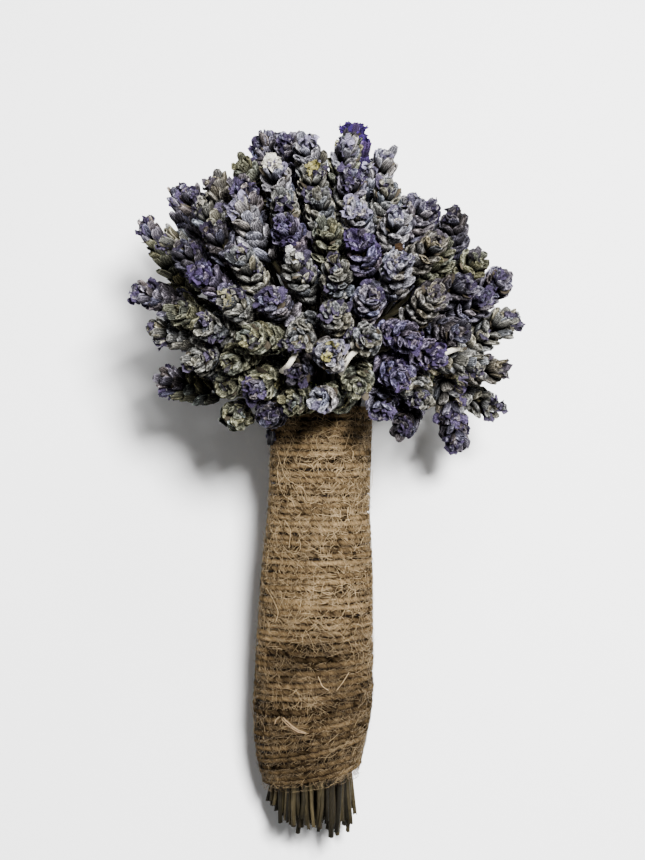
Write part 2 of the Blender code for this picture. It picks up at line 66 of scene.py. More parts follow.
# The bunch on its surface: how far its flower end is tipped up, how deep what meets the surface is
# pressed flat, and where the neck stands over the origin.
TIP_UP = math.radians(12.0)
PRESS = 1.1
ORIGIN_SHIFT = (-1.7, 25.2)
FLOOR_NORMAL = np.array([0.0, math.sin(TIP_UP), math.cos(TIP_UP)])

# The dome of flowers: the spikes' tips lie on an egg shape, and the spikes fan out of one point.
DOME_CENTRE = np.array([0.0, 37.4, 0.0])
DOME_RADII = np.array([69.0, 64.0, 66.0])
FAN_POINT = np.array([0.0, 25.4, 0.0])
LOWEST_FILL = math.radians(122.0)
SPOTS_TRIED = 900
TIP_SPREAD = (0.96, 1.02)

# The photographed tips make an outline, which falls off beside each of them by this much for a radian.
# All other tips start this far inside it, and no tip settles further than this outside it.
OUTLINE_FALL = 62.0
INSIDE_OUTLINE = 4.5
OUTSIDE_OUTLINE = 2.5

# A flower spike: its whorls of florets, its girth at the widest whorl and along its length, and the room
# that it takes there when spikes settle against each other.
SPIKE_RADIUS = 5.7
SPIKE_LENGTHS = (23.0, 31.0)
USUAL_LENGTH = 26.0
LENGTH_SPREAD = (0.92, 1.08)
LONGEST = 35.0
LEAST_SLOPE = 1.03
GIRTH_AT = (0.0, 0.18, 0.5, 0.8, 1.0)
GIRTH = (0.6, 0.96, 1.0, 0.85, 0.5)
ROOM = (0.75, 1.0, 1.0, 0.97, 0.75)
SPIKE_GAP = 0.5

# The stems: three to a strand, and the strands in rings in the handle.
STEM_RADIUS = 0.92
STEMS_IN_STRAND = 3
STEM_OFFSET = 0.75
STRANDS_IN_RINGS = (1, 7, 14, 22)
RING_STEP = 4.2
STEM_STEPS = 2
RISE = 0.42
ARRIVE = 0.3
SPIKE_COUNT = STEMS_IN_STRAND * sum(STRANDS_IN_RINGS)

# The cut ends below the handle, which spread a little, and are shorter on the left and near the surface.
END_LENGTH = 15.6
END_SHORTER_LEFT = 0.35
END_SPREAD = 1.08
END_JITTER = 2.0
END_CLEAR = 0.3

# The jute handle: its outline as distance below the neck and radius, and the twine that makes it.
WRAP_LENGTH = 133.6
WRAP_DOWN = (0.0, 36.6, 57.6, 83.6, 105.6, 115.6, 124.6, 133.6)
WRAP_RADII = (17.9, 18.0, 19.7, 20.8, 21.3, 20.7, 19.0, 16.9)
TWINE_PITCH = 2.24

# The handle lies on its last turns of twine, whose corners are pressed flat.
NECK_HEIGHT = WRAP_LENGTH * math.sin(TIP_UP) + WRAP_RADII[-1] * math.cos(TIP_UP)

# How the spikes settle: steps, share of an overlap undone in each, how much less a spike gives way than a
# stem does, and the pulls, which fade to nothing, of a spike to its wished place and of a stem to its
# smooth curve.
SETTLE_STEPS = 300
SETTLE_PUSH = 0.3
SPIKE_YIELD = 0.5
SHAKE = 0.5
SETTLE_PULL = 0.004
STEM_SPRING = 0.06

SEED = 17

# Tip and base of each spike that the photograph shows, in its pixels.
SPIKES_IN_PHOTO = {
    "left_long": (147, 216, 203, 292),
    "left_top_a": (174, 188, 190, 262),
    "left_top_b": (188, 186, 212, 248),
    "left_top_c": (202, 200, 236, 262),
    "left_brown": (209, 176, 243, 235),
    "left_pale": (236, 206, 282, 262),
    "left_inner": (248, 175, 254, 226),
    "crown_ribbed": (243, 163, 272, 198),
    "crown_left": (271, 132, 274, 184),
    "crown_mid": (300, 134, 306, 192),
    "crown_open": (280, 174, 284, 206),
    "crown_yellow": (309, 170, 313, 207),
    "upper_dark": (222, 226, 250, 276),
    "upper_grey": (278, 212, 284, 244),
    "upper_vivid": (309, 200, 312, 242),
    "mid_left_violet": (207, 268, 243, 312),
    "mid_left_dark": (188, 244, 222, 292),
    "mid_left_small": (238, 250, 262, 288),
    "crown_right_a": (330, 162, 334, 202),
    "crown_right_b": (342, 166, 347, 206),
    "tallest": (352, 124, 360, 190),
    "right_round": (358, 184, 363, 218),
    "right_small": (378, 187, 380, 228),
    "right_flat": (394, 194, 386, 236),
    "front_green": (345, 204, 351, 250),
    "front_grey": (326, 196, 326, 236),
    "front_vivid": (362, 227, 371, 260),
    "right_pale_a": (371, 208, 377, 246),
    "right_pale_b": (390, 216, 393, 252),
    "right_thin": (401, 203, 399, 242),
    "right_split": (432, 203, 418, 250),
    "right_peak": (454, 200, 450, 256),
    "right_hidden": (413, 212, 409, 256),
    "right_inner": (443, 236, 424, 274),
    "front_slant": (383, 243, 405, 270),
    "front_round": (349, 262, 352, 292),
    "front_low": (344, 295, 348, 320),
    "front_violet": (385, 282, 387, 313),
    "right_lying": (466, 281, 404, 290),
    "right_purple": (477, 264, 455, 308),
    "right_brown": (415, 300, 411, 326),
    "right_upper": (459, 254, 430, 283),
    "right_cluster": (484, 291, 448, 318),
    "low_left_purple": (140, 293, 195, 318),
    "low_left_big": (150, 326, 207, 343),
    "low_left_round": (224, 342, 242, 337),
    "low_left_slim": (237, 320, 285, 338),
    "low_mid_grey": (302, 346, 306, 320),
    "mid_pale": (297, 267, 325, 312),
    "mid_violet": (275, 292, 292, 314),
    "mid_scaly": (240, 282, 268, 310),
    "low_left_pale": (212, 360, 246, 372),
    "low_left_long": (157, 376, 213, 394),
    "low_left_yellow": (224, 391, 250, 380),
    "low_bent_left": (243, 402, 288, 372),
    "low_bent_mid": (302, 410, 343, 372),
    "low_left_brown": (223, 412, 250, 395),
    "low_left_dark": (251, 418, 276, 394),
    "mid_yellow": (343, 326, 347, 358),
    "mid_twin_grey": (376, 322, 378, 350),
    "mid_twin_violet": (400, 338, 388, 326),
    "mid_right_violet": (428, 347, 400, 338),
    "mid_right_dark": (447, 336, 415, 322),
    "low_vivid": (385, 367, 392, 345),
    "low_right_grey": (410, 374, 399, 352),
    "low_big": (380, 411, 372, 374),
    "low_right_dark": (399, 423, 420, 386),
    "hanging": (452, 421, 440, 362),
    "hanging_behind": (460, 445, 455, 398),
    "far_right": (518, 318, 458, 350),
    "far_right_upper": (494, 302, 455, 335),
    "far_right_low": (503, 366, 458, 372),
    "far_right_last": (491, 407, 448, 384),
    "low_green": (270, 409, 300, 380),
    "low_tucked": (298, 385, 312, 360),
    "low_mid_green": (350, 378, 356, 346),
    "low_left_back": (236, 367, 262, 350),
}

random = np.random.default_rng(SEED)


def unit(vectors):
    """The same vectors with length 1."""
    return vectors / np.linalg.norm(vectors, axis=-1, keepdims=True)


def on_photo(pixel):
    """Where a pixel lies on the plane through the bunch's axis that faces the eye."""
    return LEAN @ ((np.asarray(pixel) - NECK_PIXEL) * [1.0, -1.0] * PHOTO_SCALE)


def at_depth(pixel, depth):
    """The point of the bunch that a pixel shows, if it lies this far in front of the bunch's axis."""
    eye = on_photo(CENTRE_PIXEL)
    spot = eye + (on_photo(pixel) - eye) * (1.0 - depth / EYE_DISTANCE)
    return np.array([spot[0], spot[1], depth])


def dome_depth(pixel):
    """How far in front of the bunch's axis the dome of tips lies where a pixel shows it."""
    depth = 0.0
    for _ in range(4):
        level = (at_depth(pixel, depth) - DOME_CENTRE) / DOME_RADII
        depth = DOME_RADII[2] * math.sqrt(max(0.0, 1.0 - level[0] ** 2 - level[1] ** 2))
    return depth


def photographed_spike(tip_pixel, base_pixel):
    """Base and tip of a photographed spike: its tip on the dome; what seems short points at the eye."""
    depth = dome_depth(tip_pixel)
    tip = at_depth(tip_pixel, depth)
    seen = (at_depth(base_pixel, depth) - tip)[:2]
    across = min(np.linalg.norm(seen), LONGEST)
    length = max(USUAL_LENGTH * random.uniform(*LENGTH_SPREAD), LEAST_SLOPE * across)
    inward = math.sqrt(length**2 - across**2)
    return tip + np.append(unit(seen) * across, -inward), tip


def fill_spike(tip):
    """Base and tip of a spike that fans out straight to its tip."""
    length = random.uniform(*SPIKE_LENGTHS)
    return tip - length * unit(tip - FAN_POINT), tip


def dome_points(count):
    """Points spread evenly over the dome in a sunflower's spiral, from its top down to LOWEST_FILL."""
    steps = np.arange(count) + 0.5
    upward = 1.0 - steps / count * (1.0 - math.cos(LOWEST_FILL))
    turn = steps * math.pi * (3.0 - math.sqrt(5.0))
    outward = np.sqrt(1.0 - upward**2)
    rays = np.stack([outward * np.cos(turn), upward, outward * np.sin(turn)], 1)
    return DOME_CENTRE + rays * DOME_RADII


def inside_outline(spots, tips, inside):
    """Spots pulled in until they lie this far inside the outline that the photographed tips make."""
    offsets, known = spots - DOME_CENTRE, tips - DOME_CENTRE
    turned = np.arctan2(offsets[:, 1], offsets[:, 0])[:, None] - np.arctan2(known[:, 1], known[:, 0])
    away = np.abs(np.angle(np.exp(1j * turned)))
    outline = (np.hypot(known[:, 0], known[:, 1]) - OUTLINE_FALL * away).max(1) - inside
    shrink = np.minimum(outline / np.hypot(offsets[:, 0], offsets[:, 1]), 1.0)
    return DOME_CENTRE + offsets * np.stack([shrink, shrink, np.ones_like(shrink)], 1)


def all_spikes():
    """Bases and tips before they settle: the photographed ones, and others where the gap is widest."""
    spikes = [photographed_spike(ends[:2], ends[2:]) for ends in SPIKES_IN_PHOTO.values()]
    known = np.array([tip for _, tip in spikes])
    spots = inside_outline(dome_points(SPOTS_TRIED), known, INSIDE_OUTLINE)
    while len(spikes) < SPIKE_COUNT:
        tips = np.array([tip for _, tip in spikes])
        gaps = np.linalg.norm(spots[:, None] - tips[None], axis=2).min(1)
        spikes.append(fill_spike(spots[gaps.argmax()] * random.uniform(*TIP_SPREAD)))
    bases, tips = np.array(spikes).transpose(1, 0, 2)
    return bases + random.uniform(-SHAKE, SHAKE, bases.shape), tips


def girth(along):
    """A spike's radius, as a share of its widest, this far along from base 0 to tip 1."""
    return np.interp(along, GIRTH_AT, GIRTH)


def strands(bases, tips):
    """For each strand, its spot in the handle's round section and the three spikes that it carries.

    Spikes are taken from the top of the dome down, one ring of strands after another, and round each
    ring in order, so that no stem has to cross over another.
    """
    middles = (bases + tips) / 2.0 - FAN_POINT
    order = list(np.argsort(-unit(middles)[:, 1], kind="stable"))
    turns = np.arctan2(middles[:, 2], middles[:, 0])
    found = []
    for ring, count in enumerate(STRANDS_IN_RINGS):
        taken, order = order[: count * STEMS_IN_STRAND], order[count * STEMS_IN_STRAND :]
        taken.sort(key=lambda spike: turns[spike])
        groups = [taken[i : i + STEMS_IN_STRAND] for i in range(0, len(taken), STEMS_IN_STRAND)]
        steps = np.arange(count) * 2.0 * math.pi / count
        leads = [np.exp(1j * (turns[group] - step)).sum() for group, step in zip(groups, steps)]
        start = np.angle(sum(leads))
        for group, step in zip(groups, steps):
            spot = RING_STEP * ring * np.array([math.cos(start + step), math.sin(start + step)])
            found.append((spot, group))
    return found


def stem_offsets(group, bases):
    """Which way each stem of a strand stands from the strand's middle: the way that its spike lies."""
    away = (bases[group] - bases[group].mean(0))[:, [0, 2]]
    lies = np.arctan2(away[:, 1], away[:, 0])
    places = np.argsort(np.argsort(lies)) * 2.0 * math.pi / STEMS_IN_STRAND
    turns = places + np.angle(np.exp(1j * (lies - places)).sum())
    return np.stack([np.cos(turns), np.sin(turns)], 1)


def bezier(start, first, second, end, steps):
    """Points on a cubic curve after its start, the last of them its end."""
    t = (np.arange(steps)[:, None, None] + 1.0) / steps
    return (1 - t) ** 3 * start + 3 * t * (1 - t) ** 2 * first + 3 * t**2 * (1 - t) * second + t**3 * end


def stem_curves(necks, bases, tips):
    """The way of each stem from the handle's top to its spike's base: straight up, then out."""
    reach = np.linalg.norm(bases - necks, axis=1)[:, None]
    rising = necks + reach * [0.0, RISE, 0.0]
    arriving = bases - ARRIVE * reach * unit(tips - bases)
    return bezier(necks, rising, arriving, bases, STEM_STEPS)[:-1]


def nearest_places(starts, runs, other_starts, other_runs):
    """How far along each line of one list and its partner in the other they come nearest each other."""
    between = starts - other_starts
    size, other_size = (runs**2).sum(1), (other_runs**2).sum(1)
    dot = (runs * other_runs).sum(1)
    first, second = (runs * between).sum(1), (other_runs * between).sum(1)
    spread = np.maximum(size * other_size - dot**2, 1e-6)
    along = np.clip((dot * second - first * other_size) / spread, 0.0, 1.0)
    other = np.clip((dot * along + second) / other_size, 0.0, 1.0)
    along = np.clip((dot * other - first) / size, 0.0, 1.0)
    return along, other


def places_to_check(starts, runs, other_starts, other_runs):
    """Three pairs of places for two stretches: the nearest, and each middle with what lies beside it."""
    half = np.full(len(starts), 0.5)
    yield nearest_places(starts, runs, other_starts, other_runs)
    beside = ((starts + 0.5 * runs - other_starts) * other_runs).sum(1) / (other_runs**2).sum(1)
    yield half, np.clip(beside, 0.0, 1.0)
    beside = ((other_starts + 0.5 * other_runs - starts) * runs).sum(1) / (runs**2).sum(1)
    yield np.clip(beside, 0.0, 1.0), half


def near_pairs(joints, teams):
    """Pairs of stretches, of stems or spikes, that may touch, leaving out stems of one strand."""
    middles = (joints[1:] + joints[:-1]).reshape(-1, 3) / 2.0
    halves = np.linalg.norm(joints[1:] - joints[:-1], axis=2).ravel() / 2.0
    count = joints.shape[1]
    stem = np.arange(len(middles)) % count
    spike = np.arange(len(middles)) // count == len(joints) - 2
    one, two = np.triu_indices(len(middles), 1)
    reach = halves[one] + halves[two] + 2.0 * SPIKE_RADIUS
    near = np.linalg.norm(middles[one] - middles[two], axis=1) < reach
    strangers = teams[stem[one]] != teams[stem[two]]
    apart = (stem[one] != stem[two]) & (strangers | (spike[one] & spike[two]))
    return one[near & apart], two[near & apart], spike


def room(along, spike):
    """Half the width that a stretch takes up this far along it."""
    return np.where(spike, SPIKE_RADIUS * np.interp(along, GIRTH_AT, ROOM), STEM_RADIUS)


def above_floor(points):
    """How high points lie over the surface that the bunch lies on."""
    return points @ FLOOR_NORMAL + NECK_HEIGHT


def off_floor(bases, tips):
    """How far spikes have to rise so that their lowest florets are just pressed against the surface."""
    ways = unit(tips - bases) @ FLOOR_NORMAL
    reach = SPIKE_RADIUS * np.sqrt(1.0 - ways**2)
    heights = above_floor(bases), above_floor(tips)
    places = (0.2, 0.5, 0.8, 1.0)
    lowest = [heights[0] * (1.0 - t) + heights[1] * t - girth(t) * reach for t in places]
    return np.maximum(-PRESS - np.min(lowest, 0), 0.0)[:, None] * FLOOR_NORMAL


def off_handle(points):
    """Points beside the handle moved out until a spike there is clear of the twine."""
    outward = np.maximum(np.hypot(points[:, 0], points[:, 2]), 1e-6)
    beside = points[:, 1] < SPIKE_RADIUS
    grow = np.where(beside, np.maximum((WRAP_RADII[0] + SPIKE_RADIUS + 1.0) / outward, 1.0), 1.0)
    return points * np.stack([grow, np.ones_like(grow), grow], 1)


def settled(bases, tips, necks, teams):
    """Moves stems' middles and spikes until none runs into another, the handle or the floor.

    Returns rows of joints: each stem's points from the handle's top to its spike's base and tip.
    """
    lengths = np.linalg.norm(tips - bases, axis=1)[:, None]
    joints = np.concatenate([[necks], stem_curves(necks, bases, tips), [bases, tips]])
    wished = joints[-2:].copy()
    outermost = wished[-1][: len(SPIKES_IN_PHOTO)]
    stems = joints.shape[1]
    for step in range(SETTLE_STEPS):
        if step % 10 == 0:
            one, two, spike = near_pairs(joints, teams)
            light = np.where(spike, SPIKE_YIELD, 1.0)
            share = light[one] / (light[one] + light[two])
        starts = joints[:-1].reshape(-1, 3)
        runs = joints[1:].reshape(-1, 3) - starts
        moves = np.zeros((joints.shape[0] * stems, 3))
        for along, other in places_to_check(starts[one], runs[one], starts[two], runs[two]):
            apart = starts[one] + along[:, None] * runs[one]
            apart = apart - starts[two] - other[:, None] * runs[two]
            distance = np.maximum(np.linalg.norm(apart, axis=1), 1e-3)
            wanted = room(along, spike[one]) + room(other, spike[two]) + SPIKE_GAP
            push = (SETTLE_PUSH * np.maximum(wanted - distance, 0.0) / distance)[:, None] * apart
            np.add.at(moves, one, (share * (1.0 - along))[:, None] * push)
            np.add.at(moves, one + stems, (share * along)[:, None] * push)
            np.add.at(moves, two, -((1.0 - share) * (1.0 - other))[:, None] * push)
            np.add.at(moves, two + stems, -((1.0 - share) * other)[:, None] * push)
        joints += moves.reshape(joints.shape)
        fading = 1.0 - step / SETTLE_STEPS
        joints[-2:] += SETTLE_PULL * fading * (wished - joints[-2:])
        joints[-1] = inside_outline(joints[-1], outermost, -OUTSIDE_OUTLINE)
        smooth = stem_curves(necks, joints[-2], joints[-1])
        joints[1:-2] += STEM_SPRING * fading * (smooth - joints[1:-2])
        joints[0] = necks
        joints[-2:] = [off_handle(points) for points in joints[-2:]]
        middles = joints[-2:].mean(0) + off_floor(joints[-2], joints[-1])
        halves = unit(joints[-1] - joints[-2]) * lengths / 2.0
        joints[-2:] = [middles - halves, middles + halves]
    return np.round(joints, 2)


def bound_stems():
    """For each strand its stems, as number, cut end and joints, from the handle's top to the tip."""
    bases, tips = all_spikes()
    necks = np.zeros_like(bases)
    ends = np.zeros_like(bases)
    teams = np.zeros(len(bases), int)
    found = strands(bases, tips)
    for team, (spot, group) in enumerate(found):
        offsets = stem_offsets(group, bases)
        teams[group] = team
        necks[np.ix_(group, [0, 2])] = spot + STEM_OFFSET * offsets
        ends[group] = [cut_end(place) for place in spot + STEM_OFFSET * offsets]
    joints = settled(bases, tips, necks, teams)
    return [[(spike, ends[spike], joints[:, spike]) for spike in group] for _, group in found]


def cut_end(spot):
    """The place of a cut end below the twine, for a stem at this spot of the handle's section."""
    spot = END_SPREAD * spot
    length = END_LENGTH - END_SHORTER_LEFT * max(0.0, -spot[0])
    length = length + random.uniform(-END_JITTER, END_JITTER)
    lowest = above_floor(np.array([spot[0], -WRAP_LENGTH, spot[1] - STEM_RADIUS]))
    length = min(length, (lowest - END_CLEAR) / math.sin(TIP_UP))
    return np.array([spot[0], -WRAP_LENGTH - length, spot[1]])


TILTED = np.array(
    [
        [1.0, 0.0, 0.0],
        [0.0, math.cos(TIP_UP), -math.sin(TIP_UP)],
        [0.0, math.sin(TIP_UP), math.cos(TIP_UP)],
    ]
)
STANDS_AT = np.array([ORIGIN_SHIFT[0], ORIGIN_SHIFT[1], NECK_HEIGHT])

# How thick the layer is that the surface squeezes, where the bunch lies on it.
SQUEEZE = 0.5

# The florets of a spike: a calyx's length and half widths, where its foot stands as a share of its reach
# from the spike's axis, how far apart its whorls are, and how far a calyx may lean out.
CALYX_LENGTH = 7.3
CALYX_SIDE = 2.5
CALYX_THICK = 1.45
CALYX_FOOT = 0.42
FLORET_WHORL_STEP = 4.4
MOST_LEAN = math.radians(42.0)
CALYX_CRUMPLE = (0.04, 0.09, 0.02)

# Where along a calyx it is widest, and how much of its half depth counts there, as shares.
WIDEST_AT = 0.75
FULL_DEPTH = 0.8

# Each kind of sheet on a spike: its half width, bulge and length, how much these vary, how deep it is
# creased, and how far its points stray.
PETAL_KIND = ((1.6, 1.4, 3.3), 0.2, 0.3, (0.06, 0.1, 0.04))
BRACT_KIND = ((1.4, 1.0, 4.2), 0.15, 0.14, (0.04, 0.05, 0.03))
SCRAP_KIND = ((1.4, 1.2, 2.4), 0.2, 0.4, (0.1, 0.15, 0.08))
BRACT_STEP = 4.6

# A calyx's rings from its foot up, as height, half width, half depth, and how light the ring is, which is
# painted shade at the foot and inside the mouth and a painted highlight round the lip: first for a withered
# calyx that has closed, then for one whose mouth stands open, down to the mouth's inside.
CLOSED_RINGS = (
    (0.02, 0.5, 0.55, 0.2),
    (0.3, 0.88, 0.96, 0.48),
    (0.58, 1.0, 1.0, 0.92),
    (0.8, 0.94, 0.86, 1.0),
    (0.95, 0.72, 0.6, 1.1),
    (1.02, 0.4, 0.3, 0.8),
    (1.03, 0.12, 0.08, 0.45),
)
OPEN_RINGS = (
    (0.02, 0.5, 0.55, 0.2),
    (0.3, 0.88, 0.96, 0.48),
    (0.58, 1.0, 1.0, 0.92),
    (0.84, 0.88, 0.8, 1.0),
    (1.0, 0.9, 0.55, 1.2),
    (0.93, 0.64, 0.22, 0.24),
    (0.7, 0.3, 0.08, 0.1),
)
OPEN_SHARE = 0.12
CALYX_SIDES = 8
CURL = 0.3

# A broad calyx at a spike's foot: half its width, and its length.
FAN_SIDE = 3.3
FAN_LENGTH = 9.0
FAN_CRUMPLE = (0.03, 0.06, 0.02)

# Names of the photographed spikes by how they look. All others draw their look from SHARES.
LOOKS = {
    "vivid": (
        "upper_vivid", "front_vivid", "low_vivid", "mid_right_violet", "mid_left_violet",
        "mid_twin_violet",
    ),
    "violet": (
        "left_top_a", "left_top_b", "low_left_purple", "right_purple", "right_cluster", "front_violet",
        "crown_left", "crown_mid", "mid_violet", "left_inner", "low_big", "right_thin",
    ),
    "pale": (
        "left_pale", "right_pale_a", "right_pale_b", "mid_yellow", "right_split", "crown_open",
        "right_small",
    ),
    "green": (
        "front_green", "far_right", "right_inner", "crown_ribbed", "low_left_yellow", "right_upper",
        "low_left_slim", "low_green", "low_bent_left", "low_mid_green", "low_left_back", "low_left_brown",
    ),
    "brown": ("left_brown", "right_brown", "far_right_low"),
    "dark": (
        "mid_left_dark", "upper_dark", "right_peak", "low_left_dark", "low_right_dark", "mid_right_dark",
        "low_tucked", "right_lying",
    ),
    "grey": (
        "left_top_c", "upper_grey", "front_grey", "front_round", "front_low", "mid_pale", "mid_scaly",
        "low_left_big", "low_left_round", "low_mid_grey", "low_left_pale", "low_left_long",
        "mid_twin_grey", "low_right_grey", "far_right_upper", "far_right_last", "crown_yellow",
        "mid_left_small",
    ),
}
SHARES = {"grey": 0.42, "green": 0.22, "violet": 0.14, "pale": 0.05, "brown": 0.07, "dark": 0.1}

# Spikes whose lower florets look unlike those at the tip: both looks, and how far up they change over.
TWO_LOOKS = {
    "tallest": ("brown", "deep", 0.35),
    "hanging": ("brown", "violet", 0.78),
    "hanging_behind": ("dark", "violet", 0.6),
    "left_long": ("green", "violet", 0.8),
    "low_left_long": ("green", "violet", 0.75),
    "far_right": ("green", "grey", 0.55),
    "low_bent_mid": ("green", "pale", 0.7),
    "right_round": ("grey", "violet", 0.6),
    "crown_right_a": ("grey", "pale", 0.6),
    "crown_right_b": ("green", "pale", 0.6),
    "low_bent_left": ("green", "violet", 0.8),
}

# Calyx colours of each look, at a floret's foot and at its mouth, and how many florets have petals left.
CALYX_COLOURS = {
    "grey": ((39, 39, 38), (98, 97, 93), 3),
    "green": ((38, 38, 33), (91, 91, 77), 1),
    "violet": ((38, 36, 41), (92, 88, 97), 5),
    "vivid": ((33, 31, 38), (82, 76, 92), 7),
    "deep": ((24, 19, 34), (58, 47, 84), 14),
    "pale": ((44, 43, 45), (114, 112, 117), 4),
    "dark": ((22, 21, 23), (61, 58, 63), 3),
    "brown": ((38, 36, 33), (91, 87, 80), 3),
}
PETAL_COLOURS = {
    "grey": ((26, 22, 34), (78, 71, 90)),
    "green": ((31, 28, 33), (78, 74, 79)),
    "violet": ((24, 20, 33), (74, 65, 91)),
    "vivid": ((23, 17, 34), (72, 60, 94)),
    "deep": ((16, 8, 36), (54, 35, 96)),
    "pale": ((52, 48, 64), (122, 117, 138)),
    "dark": ((15, 12, 23), (54, 46, 66)),
    "brown": ((34, 30, 36), (84, 78, 86)),
}

# Spikes with a few broad ribbed calyces at their foot: the colours of these, and how many.
FANS = {
    "hanging": ((112, 113, 92), (152, 153, 126), 5),
    "crown_ribbed": ((70, 67, 54), (140, 134, 112), 6),
    "far_right": ((58, 60, 46), (104, 104, 86), 5),
    "low_green": ((60, 65, 40), (106, 112, 72), 4),
    "low_bent_mid": ((66, 68, 58), (112, 114, 100), 5),
    "low_left_yellow": ((48, 50, 34), (90, 90, 62), 4),
    "right_inner": ((54, 54, 42), (98, 98, 80), 4),
}
BRACT_COLOURS = ((34, 30, 24), (74, 67, 56))
STEM_COLOURS = ((48, 45, 32), (104, 97, 73))
PALE_STEM = (190, 184, 168)
PALE_STEMS = ("low_bent_mid", "low_bent_left", "far_right")
CUT_COLOURS = ((15, 13, 7), (57, 50, 33))

# Painted shade on the stems deep in the bunch: how light a stem is where it leaves the handle, and how
# light it gets among the spikes.
SHADED_NECK = 0.12
SHADED_STEM = 0.5
STEM_SIDES = 7
# Where down the handle the bent lower end of a stem starts, as a share of the handle's length.
CUT_FROM = 0.94

# Spikes whose pale stem bends over in front of others, as pixels that it passes. It is sunk this far into
# the dome of tips at its middle, and further at its ends.
BENT_STEMS = {
    "low_bent_mid": ((362, 348), (356, 351), (350, 356), (345, 364), (341, 373)),
    "low_bent_left": ((295, 354), (292, 360), (288, 366), (282, 371)),
    "far_right": ((458, 348), (450, 351), (440, 355), (430, 360), (422, 365)),
}
BENT_SINK = 2.5
BENT_SINK_ENDS = 9.0
BENT_RADIUS = 0.95

# Spikes whose tip carries crumpled scraps of other colours.
SCRAPS = {
    "crown_open": ((110, 106, 92), (200, 196, 184), 9),
    "left_top_c": ((100, 96, 86), (180, 176, 168), 3),
    "crown_yellow": ((84, 78, 36), (170, 162, 110), 4),
    "mid_yellow": ((92, 87, 42), (180, 174, 120), 5),
    "mid_scaly": ((84, 80, 56), (166, 160, 130), 5),
    "mid_pale": ((100, 98, 92), (180, 178, 176), 5),
    "front_slant": ((40, 26, 12), (66, 44, 22), 1),
}

# The twine: its half thickness, the length of one turn of its own twist, and how finely it is made.
TWINE_RADIUS = 1.24
TWINE_SINK = 1.0
TWIST_LENGTH = 7.4
TWINE_STEP = 0.75
MEAN_TURN = 2.0 * math.pi * 20.0
TWINE_ARCS = np.radians((-105.0, -64.0, -38.0, -13.0, 13.0, 38.0, 64.0, 105.0))
# Painted shade across each turn of twine, darkest at its edges in the grooves between turns.
TWINE_GROOVE_SHADES = (0.03, 0.1, 0.52, 1.0, 1.0, 0.52, 0.1, 0.03)
TWINE_COLOURS = ((15, 10, 6), (128, 106, 75))
FIBRE_COLOURS = ((22, 15, 9), (170, 146, 110))
# How light the twine is, at distances below the neck: a painted shadow of the flowers at its top, and
# darker towards its lower end.
TWINE_LIGHTNESS_DOWN = ((0.0, 8.0, 66.0, 84.0, 100.0, WRAP_LENGTH), (0.6, 0.78, 0.84, 0.68, 0.45, 0.38))

# Loose fibres that lie, that stand off and that fray at the lower end: how many, where down the handle,
# how long, how high they climb, how thick they are and how far their headings spread.
FIBRES = (
    (12500, (1.0, WRAP_LENGTH - 1.0), (2.0, 7.0), 0.4, 0.12, 0.8),
    (2600, (1.0, WRAP_LENGTH - 1.0), (2.5, 9.0), 1.5, 0.11, 1.3),
    (700, (WRAP_LENGTH - 6.0, WRAP_LENGTH + 1.5), (2.0, 5.0), 0.6, 0.12, 1.6),
)
SLEEVE_SINK = 1.25
# The near-black colour of the sheet under the twine, painted shade that shows between the turns.
SLEEVE_SHADE_COLOUR = (16, 11, 7)

# Dark places of the twine as the photograph shows them: pixel, reach in millimetres, and how dark.
PATCHES = (
    ((316, 652), 9.0, 0.6),
    ((290, 664), 7.0, 0.6),
    ((340, 668), 6.0, 0.5),
    ((300, 560), 9.0, 0.25),
    ((275, 610), 7.0, 0.35),
    ((350, 700), 8.0, 0.3),
    ((300, 765), 10.0, 0.4),
)
# Long loose fibres and one pale loose strand, as pixels that each passes.
LONG_FIBRES = (
    ((278, 446), (280, 456), (284, 470), (287, 478), (295, 484), (304, 488)),
    ((280, 462), (279, 474), (281, 486), (284, 494)),
    ((371, 470), (370, 486), (365, 497), (354, 505)),
    ((268, 588), (274, 598), (280, 612), (277, 622)),
    ((318, 676), (322, 686), (328, 690)),
    ((348, 672), (342, 682), (336, 690)),
    ((286, 520), (292, 530), (290, 548)),
)
LOOSE_STRANDS = (
    (((284, 717), (289, 722), (297, 729), (308, 733)), 0.25),
    (((283, 718), (290, 726), (299, 732), (309, 733)), 0.2),
    (((276, 724), (278, 719), (281, 716)), 0.16),
)
STRAND_COLOUR = (122, 102, 76)
SHED_FLORET = (275, 437)

# Petals in the mouth of a floret that has any, and the ribs of a calyx.
PETALS = 4
RIBS = 13.0

# How far a point moves where a crack's net bends, in metres.
CRACK_BEND = 0.0011

flowers = np.random.default_rng(SEED + 1)
winding = np.random.default_rng(SEED + 2)

# The materials of a flower piece, and of a twine piece, by their slots.
CALYX, PETAL, STRAW = range(3)
JUTE, FIBRE = range(2)


def linear(colour):
    """A display colour, 0 to 255, as the linear numbers that shaders take."""
    share = np.asarray(colour, float) / 255.0
    return np.where(share <= 0.04045, share / 12.92, ((share + 0.055) / 1.055) ** 2.4)


def blended(pair, share):
    """The colours between two display colours, in linear numbers."""
    first, second = linear(pair[0]), linear(pair[1])
    share = np.asarray(share)[..., None]
    return first * (1.0 - share) + second * share


def crossed(way):
    """Two directions square to this one."""
    helper = np.array([0.0, 0.0, 1.0]) if abs(way[2]) < 0.9 else np.array([1.0, 0.0, 0.0])
    across = unit(np.cross(way, helper))
    return across, np.cross(way, across)


def turned(angles, first, second):
    """Directions at these angles from a first direction towards a second that is square to it."""
    return np.cos(angles)[:, None] * first + np.sin(angles)[:, None] * second


def squared(rays, ways):
    """Directions nearest to the rays that are square to their ways."""
    return unit(rays - (rays * ways).sum(1)[:, None] * ways)


def circle(sides):
    """Angles spread evenly round a circle."""
    return 2.0 * math.pi * np.arange(sides) / sides


def round_axis(angles):
    """Directions away from the bunch's axis at these angles."""
    return np.stack([np.cos(angles), np.zeros(len(angles)), np.sin(angles)], 1)


